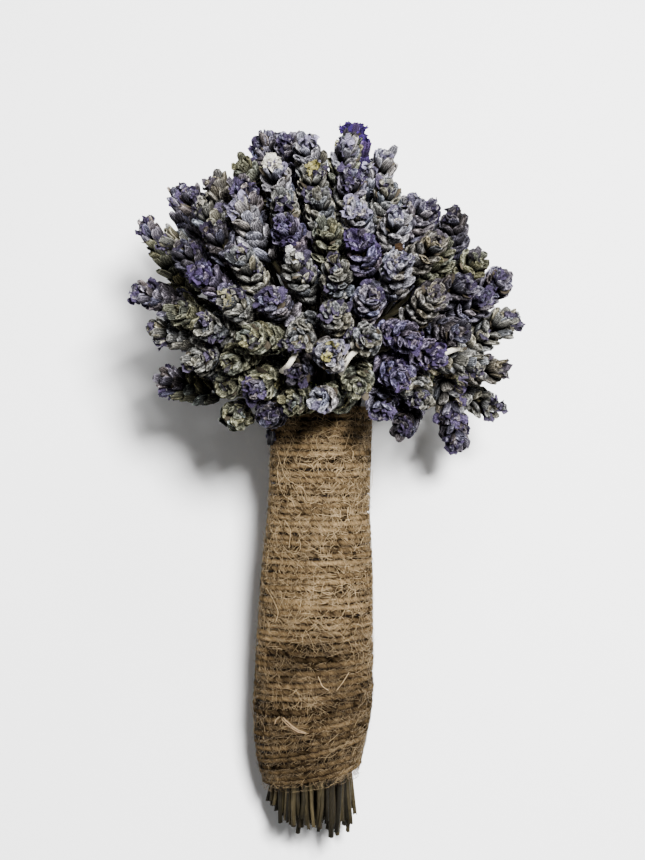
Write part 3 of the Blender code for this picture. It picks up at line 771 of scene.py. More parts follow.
def laid(points):
    """Points of the bunch's own frame where they lie in the scene, squeezed where the surface is."""
    placed = points @ TILTED.T + STANDS_AT
    height = placed[..., 2]
    squeezed = SQUEEZE * np.exp(np.minimum(height, SQUEEZE) / SQUEEZE - 1.0)
    placed[..., 2] = np.where(height < SQUEEZE, squeezed, height)
    return placed


class Heap:
    """Points with a colour and a place on their floret or stem, and the faces between them."""

    def __init__(self):
        self.count = 0
        self.points, self.tints, self.places = [], [], []
        self.corners, self.sizes, self.kinds = [], [], []

    def add(self, points, faces, tints, places, kind):
        """Adds copies of one form: points (copies, n, 3), and faces as rows of point numbers."""
        copies, per = points.shape[0], points.shape[1]
        starts = self.count + per * np.arange(copies)
        for rows in faces:
            rows = np.asarray(rows)
            self.corners.append((starts[:, None, None] + rows[None]).ravel())
            self.sizes.append(np.full(copies * len(rows), rows.shape[1]))
            self.kinds.append(np.full(copies * len(rows), kind))
        self.points.append(points.reshape(-1, 3))
        self.tints.append(np.broadcast_to(tints, points.shape).reshape(-1, 3))
        self.places.append(np.broadcast_to(places, points.shape).reshape(-1, 3))
        self.count += copies * per

    def made(self, name, materials):
        """The heap as one object, smooth shaded."""
        mesh = bpy.data.meshes.new(name)
        points = laid(np.concatenate(self.points)) * MM
        mesh.vertices.add(len(points))
        mesh.vertices.foreach_set("co", points.ravel().astype(np.float32))
        corners, sizes = np.concatenate(self.corners), np.concatenate(self.sizes)
        mesh.loops.add(len(corners))
        mesh.loops.foreach_set("vertex_index", corners.astype(np.int32))
        mesh.polygons.add(len(sizes))
        mesh.polygons.foreach_set("loop_start", (np.cumsum(sizes) - sizes).astype(np.int32))
        mesh.polygons.foreach_set("material_index", np.concatenate(self.kinds).astype(np.int32))
        mesh.update(calc_edges=True)
        tint = mesh.attributes.new("tint", "FLOAT_COLOR", "POINT")
        tints = np.concatenate(self.tints)
        colours = np.concatenate([np.clip(tints, 0.0, 1.0), np.ones((len(tints), 1))], 1)
        tint.data.foreach_set("color", colours.ravel().astype(np.float32))
        place = mesh.attributes.new("place", "FLOAT_VECTOR", "POINT")
        place.data.foreach_set("vector", np.concatenate(self.places).ravel().astype(np.float32))
        mesh.shade_smooth()
        for one in materials:
            mesh.materials.append(one)
        made = bpy.data.objects.new(name, mesh)
        bpy.context.scene.collection.objects.link(made)
        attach(made, "root")
        return made


def ring_faces(rings, sides, closed=True):
    """Quads between rings of points, each with so many sides."""
    rows = []
    for ring in range(rings - 1):
        for k in range(sides if closed else sides - 1):
            low, after = ring * sides + k, ring * sides + (k + 1) % sides
            rows.append((low, after, after + sides, low + sides))
    return rows


def calyx_form(rings):
    """One calyx: points as across, outward and along, each point's place, faces, and each point's painted
    shade and highlight.
    """
    steps = circle(CALYX_SIDES)
    points, places = [], []
    for height, width, depth, _ in rings:
        ring = np.full(CALYX_SIDES, height)
        outward = depth * np.sin(steps) + CURL * height**3
        points.append(np.stack([width * np.cos(steps), outward, ring], 1))
        places.append(np.stack([np.cos(steps), np.sin(steps), ring], 1))
    cap = [tuple(range((len(rings) - 1) * CALYX_SIDES, len(rings) * CALYX_SIDES))]
    faces = [ring_faces(len(rings), CALYX_SIDES), cap]
    shades = np.repeat([shade for *_, shade in rings], CALYX_SIDES)
    return np.concatenate(points), np.concatenate(places), faces, shades


def petal_form(rows, columns):
    """One petal: a small sheet, narrow at its foot and round on top, as across, outward and along."""
    points = []
    for row in range(rows):
        up = row / (rows - 1)
        width = 0.35 + 0.65 * math.sin(math.pi * min(1.0, 0.18 + 0.62 * up))
        for column in range(columns):
            side = 2.0 * column / (columns - 1) - 1.0
            points.append((width * side, 0.25 * side**2, up - 0.18 * side**2 * up))
    faces = ring_faces(rows, columns, closed=False)
    points = np.array(points)
    places = np.stack([points[:, 0], np.zeros(len(points)), points[:, 2]], 1)
    return points, places, [faces]


CLOSED_CALYX = calyx_form(CLOSED_RINGS)
OPEN_CALYX = calyx_form(OPEN_RINGS)
PETAL_FORM = petal_form(5, 5)
BRACT_FORM = petal_form(4, 4)


def rippled(form, count, depth):
    """Copies of a sheet's points, creased by three random waves each, up to this deep."""
    points = np.repeat(form[0][None], count, 0)
    for step in (2.2, 4.0, 6.5):
        way = flowers.uniform(0.0, 2.0 * math.pi, (count, 1))
        start = flowers.uniform(0.0, 2.0 * math.pi, (count, 1))
        reach = points[..., 0] * np.cos(way) + 1.4 * points[..., 2] * np.sin(way)
        wave = np.sin(step * reach + start)
        points[..., 1] += depth * wave
        points[..., 0] += 0.25 * depth * np.roll(wave, 1, 1)
    return points


def placed(points, spots, ways, outwards, sizes, crumple):
    """Copies of a form at spots, pointing their ways, with their fronts outwards, in three sizes each."""
    points = points + flowers.normal(0.0, 1.0, (len(spots), *points.shape[-2:])) * np.asarray(crumple)
    points = points * sizes[:, None, :]
    sides = np.cross(ways, outwards)
    return (
        spots[:, None]
        + points[..., 0:1] * sides[:, None]
        + points[..., 1:2] * outwards[:, None]
        + points[..., 2:3] * ways[:, None]
    )


def sheets(form, kind, spots, ways, fronts):
    """Creased copies of a sheet at spots, all of one kind."""
    size, spread, crease, crumple = kind
    sizes = flowers.normal(1.0, spread, (len(spots), 3)) * size
    return placed(rippled(form, len(spots), crease), spots, ways, fronts, sizes, crumple)


def smaller(along):
    """The size of a floret this far along its spike, against the largest."""
    return np.interp(along, (0.0, 0.55, 1.0), (1.0, 1.0, 0.62))


def widest_along(heights, length):
    """How far along its spike the widest part of a calyx lies, from the height of its foot."""
    return (heights + WIDEST_AT * CALYX_LENGTH) / length


def whorls_of(length):
    """Height, turn and wanted reach of each calyx of a spike of this length."""
    count = max(3, round((length - CALYX_LENGTH) / FLORET_WHORL_STEP) + 1)
    heights, turns, reaches = [], [], []
    start = flowers.uniform(0.0, 6.3)
    for whorl, height in enumerate(np.linspace(0.2, length - CALYX_LENGTH * 1.02, count)):
        along = widest_along(height, length)
        reach = SPIKE_RADIUS * girth(along)
        side = CALYX_SIDE * smaller(along)
        number = max(4, round(2.0 * math.pi * (reach - FULL_DEPTH * CALYX_THICK) / (1.72 * side)))
        steps = (np.arange(number) + 0.5 * (whorl % 2)) * 2.0 * math.pi / number
        turns.append(start + steps + flowers.normal(0.0, 0.1, number))
        heights.append(height + flowers.normal(0.0, 0.45, number))
        reaches.append(np.full(number, reach) * flowers.normal(1.0, 0.05, number))
    turns.append(start + np.arange(3) * 2.1)
    heights.append(np.full(3, length - CALYX_LENGTH - 0.9))
    reaches.append(np.full(3, 1.9))
    return np.concatenate(heights), np.concatenate(turns), np.concatenate(reaches)


def add_spike(heap, base, tip, look):
    """The florets of one spike: calyces in whorls, bracts under them, and the petals that are left."""
    length = np.linalg.norm(tip - base)
    way = (tip - base) / length
    across, up = crossed(way)
    heights, turns, reaches = whorls_of(length)
    count = len(heights)
    along = widest_along(heights, length)
    slim = smaller(along)[:, None] ** [1.0, 1.0, 0.3]
    size = flowers.normal(1.0, 0.11, (count, 3)) * slim * [CALYX_SIDE, CALYX_THICK, CALYX_LENGTH]
    rays = turned(turns, across, up)
    reaches = np.minimum(reaches, SPIKE_RADIUS)
    feet = CALYX_FOOT * reaches
    sines = (reaches - feet - FULL_DEPTH * size[:, 1]) / size[:, 2]
    ways = turned(np.arcsin(np.clip(sines, 0.05, math.sin(MOST_LEAN))), way, rays)
    ways = unit(ways + flowers.normal(0.0, 0.09, ways.shape))
    outwards = squared(rays, ways)
    spots = base + heights[:, None] * way + feet[:, None] * rays

    lower, upper, turn = look
    opened = np.where(flowers.uniform(size=count) < OPEN_SHARE, 1.0, flowers.uniform(0.0, 0.25, count))
    opened = opened[:, None, None]
    form = CLOSED_CALYX[0] * (1.0 - opened) + OPEN_CALYX[0] * opened
    # Painted shade at each calyx's foot and in its mouth, and a painted highlight round its lip, from its
    # rings.
    shades = CLOSED_CALYX[3][:, None] * (1.0 - opened) + OPEN_CALYX[3][:, None] * opened
    points = placed(form, spots, ways, outwards, size, CALYX_CRUMPLE)
    share = np.clip(CLOSED_CALYX[0][:, 2] * 1.15 - 0.1, 0.0, 1.0)
    tints = [blended(CALYX_COLOURS[one][:2], share)[None] for one in (lower, upper)]
    tints = np.where((along > turn)[:, None, None], tints[1], tints[0]) * shades
    tints = tints * flowers.normal(1.0, 0.3, (count, 1, 1)).clip(0.4, 1.8)
    warmth = flowers.normal(0.0, 0.07, (count, 1))
    tints = tints * np.stack([1.0 + warmth, 1.0 + 0.5 * warmth, 1.0 - warmth], 2)
    heap.add(points, CLOSED_CALYX[2], tints, CLOSED_CALYX[1][None], CALYX)
    add_bracts(heap, base, way, across, up, length)
    add_petals(heap, spots + ways * size[:, 2:3] * 0.9, ways, outwards, heights / length, upper)


def add_fan(heap, base, tip, colours):
    """Broad ribbed calyces close round a spike's foot, in their own two colours."""
    low, high, count = colours
    way = unit(tip - base)
    rays = turned(circle(count) + flowers.normal(0.0, 0.1, count), *crossed(way))
    ways = turned(flowers.normal(0.36, 0.05, count), way, rays)
    spots = base - 0.6 * way + 1.5 * rays
    size = flowers.normal(1.0, 0.08, (count, 3)) * [FAN_SIDE, CALYX_THICK, FAN_LENGTH]
    points = placed(CLOSED_CALYX[0], spots, ways, squared(rays, ways), size, FAN_CRUMPLE)
    tints = blended((low, high), np.clip(CLOSED_CALYX[0][:, 2], 0.0, 1.0))
    tints = tints * flowers.normal(1.0, 0.1, (count, 1, 1))
    heap.add(points, CLOSED_CALYX[2], tints, CLOSED_CALYX[1][None], CALYX)


def add_bracts(heap, base, way, across, up, length):
    """Small papery bracts under the whorls, two to each."""
    count = 2 * max(3, round(length / BRACT_STEP))
    heights = np.repeat(np.linspace(0.5, length - 8.0, count // 2), 2) + flowers.normal(0.0, 0.5, count)
    turns = np.arange(count) * math.pi + np.arange(count) // 2 * 1.4 + flowers.normal(0.0, 0.3, count)
    rays = turned(turns, across, up)
    ways = turned(flowers.normal(0.75, 0.12, count), way, rays)
    spots = base + heights[:, None] * way + 1.6 * rays
    points = sheets(BRACT_FORM, BRACT_KIND, spots, ways, squared(rays, ways))
    tints = blended(BRACT_COLOURS, flowers.uniform(0.0, 1.0, (count, 1)))
    heap.add(points, BRACT_FORM[2], tints, BRACT_FORM[1][None], STRAW)


def add_petals(heap, mouths, ways, outwards, along, look):
    """Crumpled petals in the mouths of some florets, most of them near the spike's tip."""
    weights = 0.02 + along**3
    flowering = min(CALYX_COLOURS[look][2], len(mouths))
    chosen = flowers.choice(len(mouths), flowering, replace=False, p=weights / weights.sum())
    spots, ways, outwards = (np.repeat(rows[chosen], PETALS, 0) for rows in (mouths, ways, outwards))
    count = len(spots)
    turns = np.tile(circle(PETALS), len(chosen)) + flowers.normal(0.0, 0.4, count)
    rays = turned(turns, np.cross(ways, outwards), outwards)
    tipped = turned(flowers.uniform(0.0, 0.75, count), ways, rays)
    spots = spots + 0.5 * rays - 2.0 * ways
    points = sheets(PETAL_FORM, PETAL_KIND, spots, tipped, squared(rays, tipped))
    share = np.repeat(flowers.uniform(0.0, 1.0, (len(chosen), 1)), PETALS, 0)
    share = np.clip(share * 0.7 + 0.45 * PETAL_FORM[0][:, 2][None] - 0.1, 0.0, 1.0)
    lights = flowers.normal(1.0, 0.2, (count, 1, 1)).clip(0.5, 1.6)
    tints = blended(PETAL_COLOURS[look], share) * lights
    heap.add(points, PETAL_FORM[2], tints, PETAL_FORM[1][None], PETAL)


def add_scraps(heap, base, tip, colours):
    """Crumpled scraps of withered flower on a spike's tip, in their own two colours."""
    low, high, count = colours
    way = unit(tip - base)
    rays = turned(flowers.uniform(0.0, 2.0 * math.pi, count), *crossed(way))
    ways = turned(flowers.uniform(0.2, 1.3, count), way, rays)
    spots = tip - 1.2 * way + flowers.uniform(0.2, 2.4, (count, 1)) * rays
    points = sheets(PETAL_FORM, SCRAP_KIND, spots, ways, squared(rays, ways))
    tints = blended((low, high), flowers.uniform(0.0, 1.0, (count, 1)))
    heap.add(points, PETAL_FORM[2], tints, PETAL_FORM[1][None], PETAL)


def carried_along(line):
    """Two directions square to a line at each of its points, carried along it without twist."""
    ways = np.empty_like(line)
    ways[1:-1] = line[2:] - line[:-2]
    ways[0], ways[-1] = line[1] - line[0], line[-1] - line[-2]
    ways = unit(ways)
    across, _ = crossed(ways[0])
    found = []
    for way in ways:
        across = unit(across - (across @ way) * way)
        found.append(across)
    across = np.array(found)
    return across, np.cross(ways, across)


def tube(line, radii, sides, turn=0.0, square=0.0):
    """Points of a tube round a line, ring after ring, a little square if asked."""
    across, up = carried_along(line)
    steps = circle(sides) + turn
    swell = 1.0 + square * np.cos(4.0 * (steps - turn))
    rays = turned(steps, across[:, None], up[:, None])
    radii = np.broadcast_to(radii, len(line))
    return (line[:, None] + (radii[:, None] * swell)[..., None] * rays).reshape(1, -1, 3)


def places_along(rings, sides):
    """Places on a stem: the last number runs from 0 at its first ring to 1 at its last."""
    places = np.zeros((1, rings * sides, 3))
    places[0, :, 2] = np.repeat(np.linspace(0.0, 1.0, rings), sides)
    return places


def smooth_line(spots, known, fine, rounds):
    """A line through spots at known places along it, read at finer places and then smoothed."""
    line = np.stack([np.interp(fine, known, spots[:, axis]) for axis in range(3)], 1)
    for _ in range(rounds):
        line[1:-1] = (line[:-2] + 2.0 * line[1:-1] + line[2:]) / 4.0
    return line


def smooth_way(joints, steps):
    """A smooth line through a stem's joints: straight out of the handle, and straight into its spike."""
    neck, middle, base, tip = joints
    knots = [neck, middle, base]
    pulls = [
        np.array([0.0, 1.0, 0.0]) * np.linalg.norm(middle - neck),
        (base - neck) / 2.0,
        unit(tip - base) * np.linalg.norm(base - middle),
    ]
    line = []
    for k in range(2):
        t = np.arange(steps)[:, None] / steps
        line.append(
            (2 * t**3 - 3 * t**2 + 1) * knots[k]
            + (t**3 - 2 * t**2 + t) * pulls[k]
            + (-2 * t**3 + 3 * t**2) * knots[k + 1]
            + (t**3 - t**2) * pulls[k + 1]
        )
    line.append(base[None])
    line.append(base + np.linspace(0.3, 0.9, 3)[:, None] * (tip - base))
    return np.concatenate(line)


def add_stem(heap, joints, pale):
    """One stem, from the handle's top to the inside of its spike."""
    line = smooth_way(joints, 5)
    radius = STEM_RADIUS * flowers.uniform(0.75, 0.98)
    radii = np.full(len(line), radius)
    radii[-3:] *= [0.9, 0.7, 0.4]
    points = tube(line, radii, STEM_SIDES, flowers.uniform(0.0, 1.0), 0.05)
    share = np.clip(flowers.normal(0.45, 0.25), 0.0, 1.0)
    tints = blended(STEM_COLOURS, np.full(points.shape[:2], share))
    if pale:
        tints = np.broadcast_to(linear(PALE_STEM), tints.shape)
    # Painted shade: a stem is darkest where it leaves the handle deep in the bunch, lighter out among the
    # spikes.
    out = np.repeat(np.clip(np.linspace(-0.35, 1.15, len(line)), 0.0, 1.0), STEM_SIDES)
    lightest = 1.0 if pale else SHADED_STEM
    tints = tints * (SHADED_NECK + (lightest - SHADED_NECK) * out)[None, :, None]
    faces = [ring_faces(len(line), STEM_SIDES)]
    heap.add(points, faces, tints, places_along(len(line), STEM_SIDES), STRAW)


def add_cut_end(heap, neck, end):
    """The lower end of a stem, which bends a little on its way to a ragged cut below the twine."""
    low = neck + [0.0, -WRAP_LENGTH * CUT_FROM, 0.0]
    thick = STEM_RADIUS * flowers.uniform(0.62, 1.18)
    sway = flowers.normal(0.0, 0.6, 3) * [1.0, 0.0, 1.0]
    end = end + flowers.normal(0.0, 1.3, 3) * [1.0, 1.1, 1.0]
    heights = np.array([0.0, 0.35, 0.7, 1.0])[:, None]
    shape = low + heights * (end - low) + np.sin(math.pi * heights) * sway
    line = np.concatenate([shape, shape[-1:] - [0.0, 0.06, 0.0], shape[-1:] + [0.0, 0.5, 0.0]])
    radii = thick * np.array([1.0, 1.0, 0.97, 1.0, 0.78, 0.5])
    points = line[:, None] + radii[:, None, None] * round_axis(circle(STEM_SIDES))[None]
    ragged = flowers.normal(0.0, 0.18, (1, STEM_SIDES))
    points[..., 1] += ragged * np.array([0, 0, 0, 1, 1, 0.4])[:, None]
    share = np.clip(flowers.normal(0.4, 0.3), 0.0, 1.0)
    tints = blended(CUT_COLOURS, np.full(points.shape[:2], share))
    tints[4:] *= 1.35
    tints[5:] *= 0.35
    cap = [tuple(range((len(line) - 1) * STEM_SIDES, len(line) * STEM_SIDES))]
    faces = [ring_faces(len(line), STEM_SIDES), cap]
    places = places_along(len(line), STEM_SIDES)
    heap.add(points.reshape(1, -1, 3), faces, tints.reshape(1, -1, 3), places, STRAW)


def on_dome(pixel, sunk):
    """The point that a pixel shows, this far below the dome of tips."""
    return at_depth(pixel, dome_depth(pixel) - sunk)


def add_bent_stem(heap, pixels):
    """The part of a pale stem that the photograph shows bending over in front of other spikes."""
    sides, steps = 8, 17
    along = np.linspace(0.0, 1.0, len(pixels))
    sinks = BENT_SINK + (BENT_SINK_ENDS - BENT_SINK) * (2.0 * along - 1.0) ** 4
    spots = np.array([on_dome(pixel, sunk) for pixel, sunk in zip(pixels, sinks)])
    line = smooth_line(spots, along, np.linspace(0.0, 1.0, steps), 4)
    points = tube(line, np.full(steps, BENT_RADIUS), sides, 0.0, 0.06)
    tint = linear(PALE_STEM)[None, None]
    heap.add(points, [ring_faces(steps, sides)], tint, places_along(steps, sides), STRAW)


def look_of(name):
    """How a photographed spike looks below and at its tip, or a look drawn by its share."""
    if name in TWO_LOOKS:
        return TWO_LOOKS[name]
    for look, names in LOOKS.items():
        if name in names:
            return look, look, 0.5
    look = str(flowers.choice(list(SHARES), p=list(SHARES.values())))
    return look, look, 0.5


def wander(places, step, size):
    """A smooth random course: a new value every step, straight between them."""
    knots = np.arange(places.min() - step, places.max() + 2.0 * step, step)
    return np.interp(places, knots, winding.normal(0.0, size, len(knots)))


def turn_lift(angle, down):
    """How far up a turn of twine runs at this angle: the lowest turns slope up to the right."""
    slant = np.interp(down, (0.0, 84.0, 104.0, 120.0, WRAP_LENGTH), (0.0, 0.4, 2.0, 4.8, 2.8))
    return slant * np.cos(angle)


def on_twine(pixel):
    """The point of the handle's surface that a pixel of the photograph shows."""
    depth = 18.0
    for _ in range(5):
        spot = at_depth(pixel, depth)
        radius = np.interp(-spot[1], WRAP_DOWN, WRAP_RADII)
        depth = math.sqrt(max(1.0, radius**2 - spot[0] ** 2))
    return spot


def patched(points):
    """How light the twine is at these points, with the photograph's dark places."""
    light = np.ones(points.shape[:-1])
    for pixel, reach, dark in PATCHES:
        away = ((points - on_twine(pixel)) ** 2).sum(-1)
        light *= 1.0 - dark * np.exp(-away / reach**2)
    return light[..., None]


def add_twine(heap):
    """The twine itself: one long line wound down the handle, twisted of two plies."""
    top, bottom = TWINE_PITCH * 0.5, WRAP_LENGTH - TWINE_PITCH * 0.5
    turns = (bottom - top) / TWINE_PITCH
    count = int(turns * MEAN_TURN / TWINE_STEP)
    angle = np.linspace(0.0, 2.0 * math.pi * turns, count)
    down = top + (bottom - top) * angle / angle[-1] + wander(angle, 0.7, 0.15)
    down = down + wander(angle, 2.9, 0.2)
    radius = np.interp(down, WRAP_DOWN, WRAP_RADII) - TWINE_SINK + wander(angle, 0.6, 0.16)
    course = np.arange(count) * TWINE_STEP
    height = turn_lift(angle, down) - down
    centre = np.stack([radius * np.cos(angle), height, radius * np.sin(angle)], 1)
    upward = np.array([0.0, 1.0, 0.0])
    twist = TWINE_ARCS[None] - 2.0 * math.pi * course[:, None] / TWIST_LENGTH
    ply = np.abs(np.cos(twist))
    thick = TWINE_RADIUS * (1.0 + wander(course, 5.0, 0.08))[:, None] * (0.87 + 0.17 * ply)
    rays = turned(TWINE_ARCS, round_axis(angle)[:, None], upward)
    points = centre[:, None] + thick[..., None] * rays
    share = 0.52 + wander(course, 3.0, 0.18) + wander(course, 60.0, 0.17)
    # Painted highlight on the crests of the plies and painted shade in the notches between them.
    share = share[:, None] + 0.34 * (ply - 0.62)
    # Painted shade towards each turn's edges, in the grooves between turns.
    tints = blended(TWINE_COLOURS, np.clip(share, 0.0, 1.2)) * np.array(TWINE_GROOVE_SHADES)[None, :, None]
    # Painted shadow of the flowers at the handle's top, and darker towards its lower end.
    tints = tints * np.interp(down, *TWINE_LIGHTNESS_DOWN)[:, None, None]
    tints = tints * patched(points)
    places = np.stack([np.cos(twist), np.sin(twist), np.broadcast_to(course[:, None], twist.shape)], 2)
    faces = [ring_faces(count, len(TWINE_ARCS), closed=False)]
    points, tints, places = (rows.reshape(1, -1, 3) for rows in (points, tints, places))
    heap.add(points, faces, tints, places, JUTE)


def add_sleeve(heap):
    """A dark sheet inside the winding, which keeps light out between the turns; its near-black colour is
    painted shade there.
    """
    sides, rings = 48, 24
    steps = circle(sides)
    down = np.linspace(0.6, WRAP_LENGTH - 0.6, rings)
    radius = np.interp(down, WRAP_DOWN, WRAP_RADII) - SLEEVE_SINK
    points = radius[:, None, None] * round_axis(steps) - down[:, None, None] * [0.0, 1.0, 0.0]
    points[..., 1] += turn_lift(steps, down[:, None])
    tint = linear(SLEEVE_SHADE_COLOUR)[None, None]
    heap.add(points.reshape(1, -1, 3), [ring_faces(rings, sides)], tint, np.zeros((1, 1, 3)), FIBRE)


def on_handle(across, down, height):
    """The point this far round the handle, in millimetres of its surface, down it and above it."""
    base = np.interp(down, WRAP_DOWN, WRAP_RADII)
    angle = across / base
    radius = base + height
    lift = turn_lift(angle, down)
    return np.stack([radius * np.cos(angle), lift - down, radius * np.sin(angle)], -1)


def add_fibres(heap, count, reach, lengths, climb, thick, spread):
    """Loose fibres of the twine as thin ribbons, lying on it or standing off it."""
    steps = 6
    t = np.linspace(0.0, 1.0, steps)[None]
    size = winding.uniform(*lengths, count)[:, None]
    start = winding.uniform(0.0, MEAN_TURN, count)[:, None]
    down = winding.uniform(*reach, count)[:, None]
    head = winding.normal(0.3, spread, count)[:, None]
    head = head + math.pi * winding.integers(0, 2, count)[:, None]
    bend = winding.normal(0.0, 1.1, count)[:, None]
    heading = head + bend * t
    step = size / (steps - 1)
    across = start + np.cumsum(np.cos(heading) * step, 1)
    lowest = max(reach[1], WRAP_LENGTH)
    lower = np.clip(down - np.cumsum(np.sin(heading) * step, 1), 0.2, lowest)
    height = 0.12 + winding.uniform(0.0, 1.0, count)[:, None] * climb * t**1.3
    height = height * np.where(winding.uniform(size=count)[:, None] < 0.3, np.sin(math.pi * t), 1.0)
    line = on_handle(across, lower, height)
    ahead = np.gradient(line, axis=1)
    outward = unit(line * [1.0, 0.0, 1.0])
    side = unit(np.cross(ahead, outward + winding.normal(0.0, 0.5, (count, 1, 3))))
    half = 0.5 * thick * np.array([1.0, 1.0, 1.0, 0.9, 0.7, 0.3])[None, :, None]
    points = np.stack([line - half * side, line + half * side], 2).reshape(count, -1, 3)
    share = np.clip(winding.normal(0.5, 0.36, (count, 1)), 0.0, 1.15)
    # The twine's painted shadow of the flowers at the top, and darker towards the lower end.
    tints = blended(FIBRE_COLOURS, share) * np.interp(down, *TWINE_LIGHTNESS_DOWN)[..., None]
    tints = tints * patched(line[:, :1])
    faces = [ring_faces(steps, 2, closed=False)]
    heap.add(points, faces, tints, np.zeros((1, 1, 3)), FIBRE)


def passing(pixels, height, steps):
    """A smooth line over the twine that passes these pixels of the photograph, this far above it."""
    spots = np.array([on_twine(pixel) for pixel in pixels])
    spots = spots + height * unit(spots * [1.0, 0.0, 1.0])
    return smooth_line(spots, np.arange(len(spots)), np.linspace(0.0, len(spots) - 1.0, steps), 3)


def add_loose(heap):
    """The long loose fibres and the pale loose strand that the photograph shows."""
    for pixels in LONG_FIBRES:
        line = passing(pixels, 0.7, 24)
        points = tube(line, np.full(len(line), 0.07), 4)
        tint = blended(FIBRE_COLOURS, np.full((1, 1), winding.uniform(0.65, 1.0)))
        heap.add(points, [ring_faces(len(line), 4)], tint, np.zeros((1, 1, 3)), FIBRE)
    for pixels, thick in LOOSE_STRANDS:
        line = passing(pixels, 0.9, 16)
        line = line + winding.normal(0.0, 0.06, line.shape)
        radii = thick * np.interp(np.arange(16), (0, 3, 12, 15), (0.5, 1.0, 0.8, 0.3))
        points = tube(line, radii, 6)
        tint = linear(STRAND_COLOUR) * winding.uniform(0.6, 1.1)
        heap.add(points, [ring_faces(len(line), 6)], tint[None, None], np.zeros((1, 1, 3)), FIBRE)


def add_shed_floret(heap):
    """One floret that fell off its spike and lies on the top of the twine."""
    spot = on_twine(SHED_FLORET)
    outward = unit(spot * [1.0, 0.0, 1.0])
    lies = np.array([0.25, 1.0, 0.1])
    way = unit(lies - (lies @ outward) * outward)
    spots, ways = (spot + 1.5 * outward - 3.0 * way)[None], way[None]
    size = np.array([[1.9, 1.3, 5.0]])
    points = placed(OPEN_CALYX[0], spots, ways, outward[None], size, (0.07, 0.14, 0.04))
    low, high, _ = CALYX_COLOURS["pale"]
    # The rings' painted shade at the foot and in the mouth, and painted highlight round the lip.
    tints = blended((low, high), OPEN_CALYX[0][:, 2].clip(0.0, 1.0)) * OPEN_CALYX[3][:, None]
    heap.add(points, OPEN_CALYX[2], tints[None], OPEN_CALYX[1][None], CALYX)
    add_petals(heap, spots + 4.6 * way, ways, outward[None], np.ones(1), "pale")


class Shading:
    """A material that is built node by node, from its tint and place attributes and fine noises."""

    def __init__(self, name, roughness, specular=0.5):
        self.material = bpy.data.materials.new(name)
        self.material.use_nodes = True
        self.tree = self.material.node_tree
        self.shader = self.tree.nodes["Principled BSDF"]
        self.shader.inputs["Roughness"].default_value = roughness
        self.shader.inputs["Specular IOR Level"].default_value = specular
        self.spot = self.node("ShaderNodeTexCoord", {})["Object"]

    def node(self, kind, inputs, **settings):
        """The outputs of a new node, whose inputs are numbers or sockets that are linked to it."""
        made = self.tree.nodes.new(kind)
        for key, value in settings.items():
            setattr(made, key, value)
        for key, value in inputs.items():
            if isinstance(value, bpy.types.NodeSocket):
                self.tree.links.new(value, made.inputs[key])
            else:
                made.inputs[key].default_value = value
        return made.outputs

    def attribute(self, name, output):
        """A point attribute of the mesh."""
        return self.node("ShaderNodeAttribute", {}, attribute_name=name)[output]

    def math(self, operation, *values):
        """The result of a Math node for one or two values, each a socket or a number."""
        return self.node("ShaderNodeMath", dict(enumerate(values)), operation=operation)[0]

    def product(self, first, *others):
        """All the values multiplied."""
        for other in others:
            first = self.math("MULTIPLY", first, other)
        return first

    def noise(self, vector, scale, detail, roughness=0.6):
        """A noise, mostly from 0.3 to 0.7."""
        inputs = {"Vector": vector, "Scale": scale, "Detail": detail, "Roughness": roughness}
        return self.node("ShaderNodeTexNoise", inputs)["Fac"]

    def ranged(self, value, low, high, to_low, to_high):
        """A value moved from one range to another, and kept inside it."""
        inputs = {"Value": value, "From Min": low, "From Max": high, "To Min": to_low, "To Max": to_high}
        return self.node("ShaderNodeMapRange", inputs)["Result"]

    def stretched(self, vector, scale):
        """A vector with its three numbers scaled."""
        return self.node("ShaderNodeMapping", {"Vector": vector, "Scale": scale})["Vector"]

    def cracks(self, scale):
        """How far each point is from the nearest line of a fine crooked net."""
        inputs = {"Vector": self.spot, "Scale": 0.8 * scale, "Detail": 2.0}
        bend = self.node("ShaderNodeTexNoise", inputs)["Color"]
        inputs = {0: bend, 1: (CRACK_BEND, CRACK_BEND, CRACK_BEND), 2: self.spot}
        moved = self.node("ShaderNodeVectorMath", inputs, operation="MULTIPLY_ADD")["Vector"]
        inputs = {"Vector": moved, "Scale": scale}
        return self.node("ShaderNodeTexVoronoi", inputs, feature="DISTANCE_TO_EDGE")["Distance"]

    def coloured(self, tint, light):
        """Links the tint, made lighter or darker, to the shader's colour."""
        scaled = self.node("ShaderNodeVectorMath", {0: tint, "Scale": light}, operation="SCALE")
        self.tree.links.new(scaled["Vector"], self.shader.inputs["Base Color"])

    def bumped(self, height, distance):
        """Lets a height stand out by this distance, in metres."""
        bump = self.node("ShaderNodeBump", {"Height": height, "Distance": distance, "Strength": 1.0})
        self.tree.links.new(bump["Normal"], self.shader.inputs["Normal"])


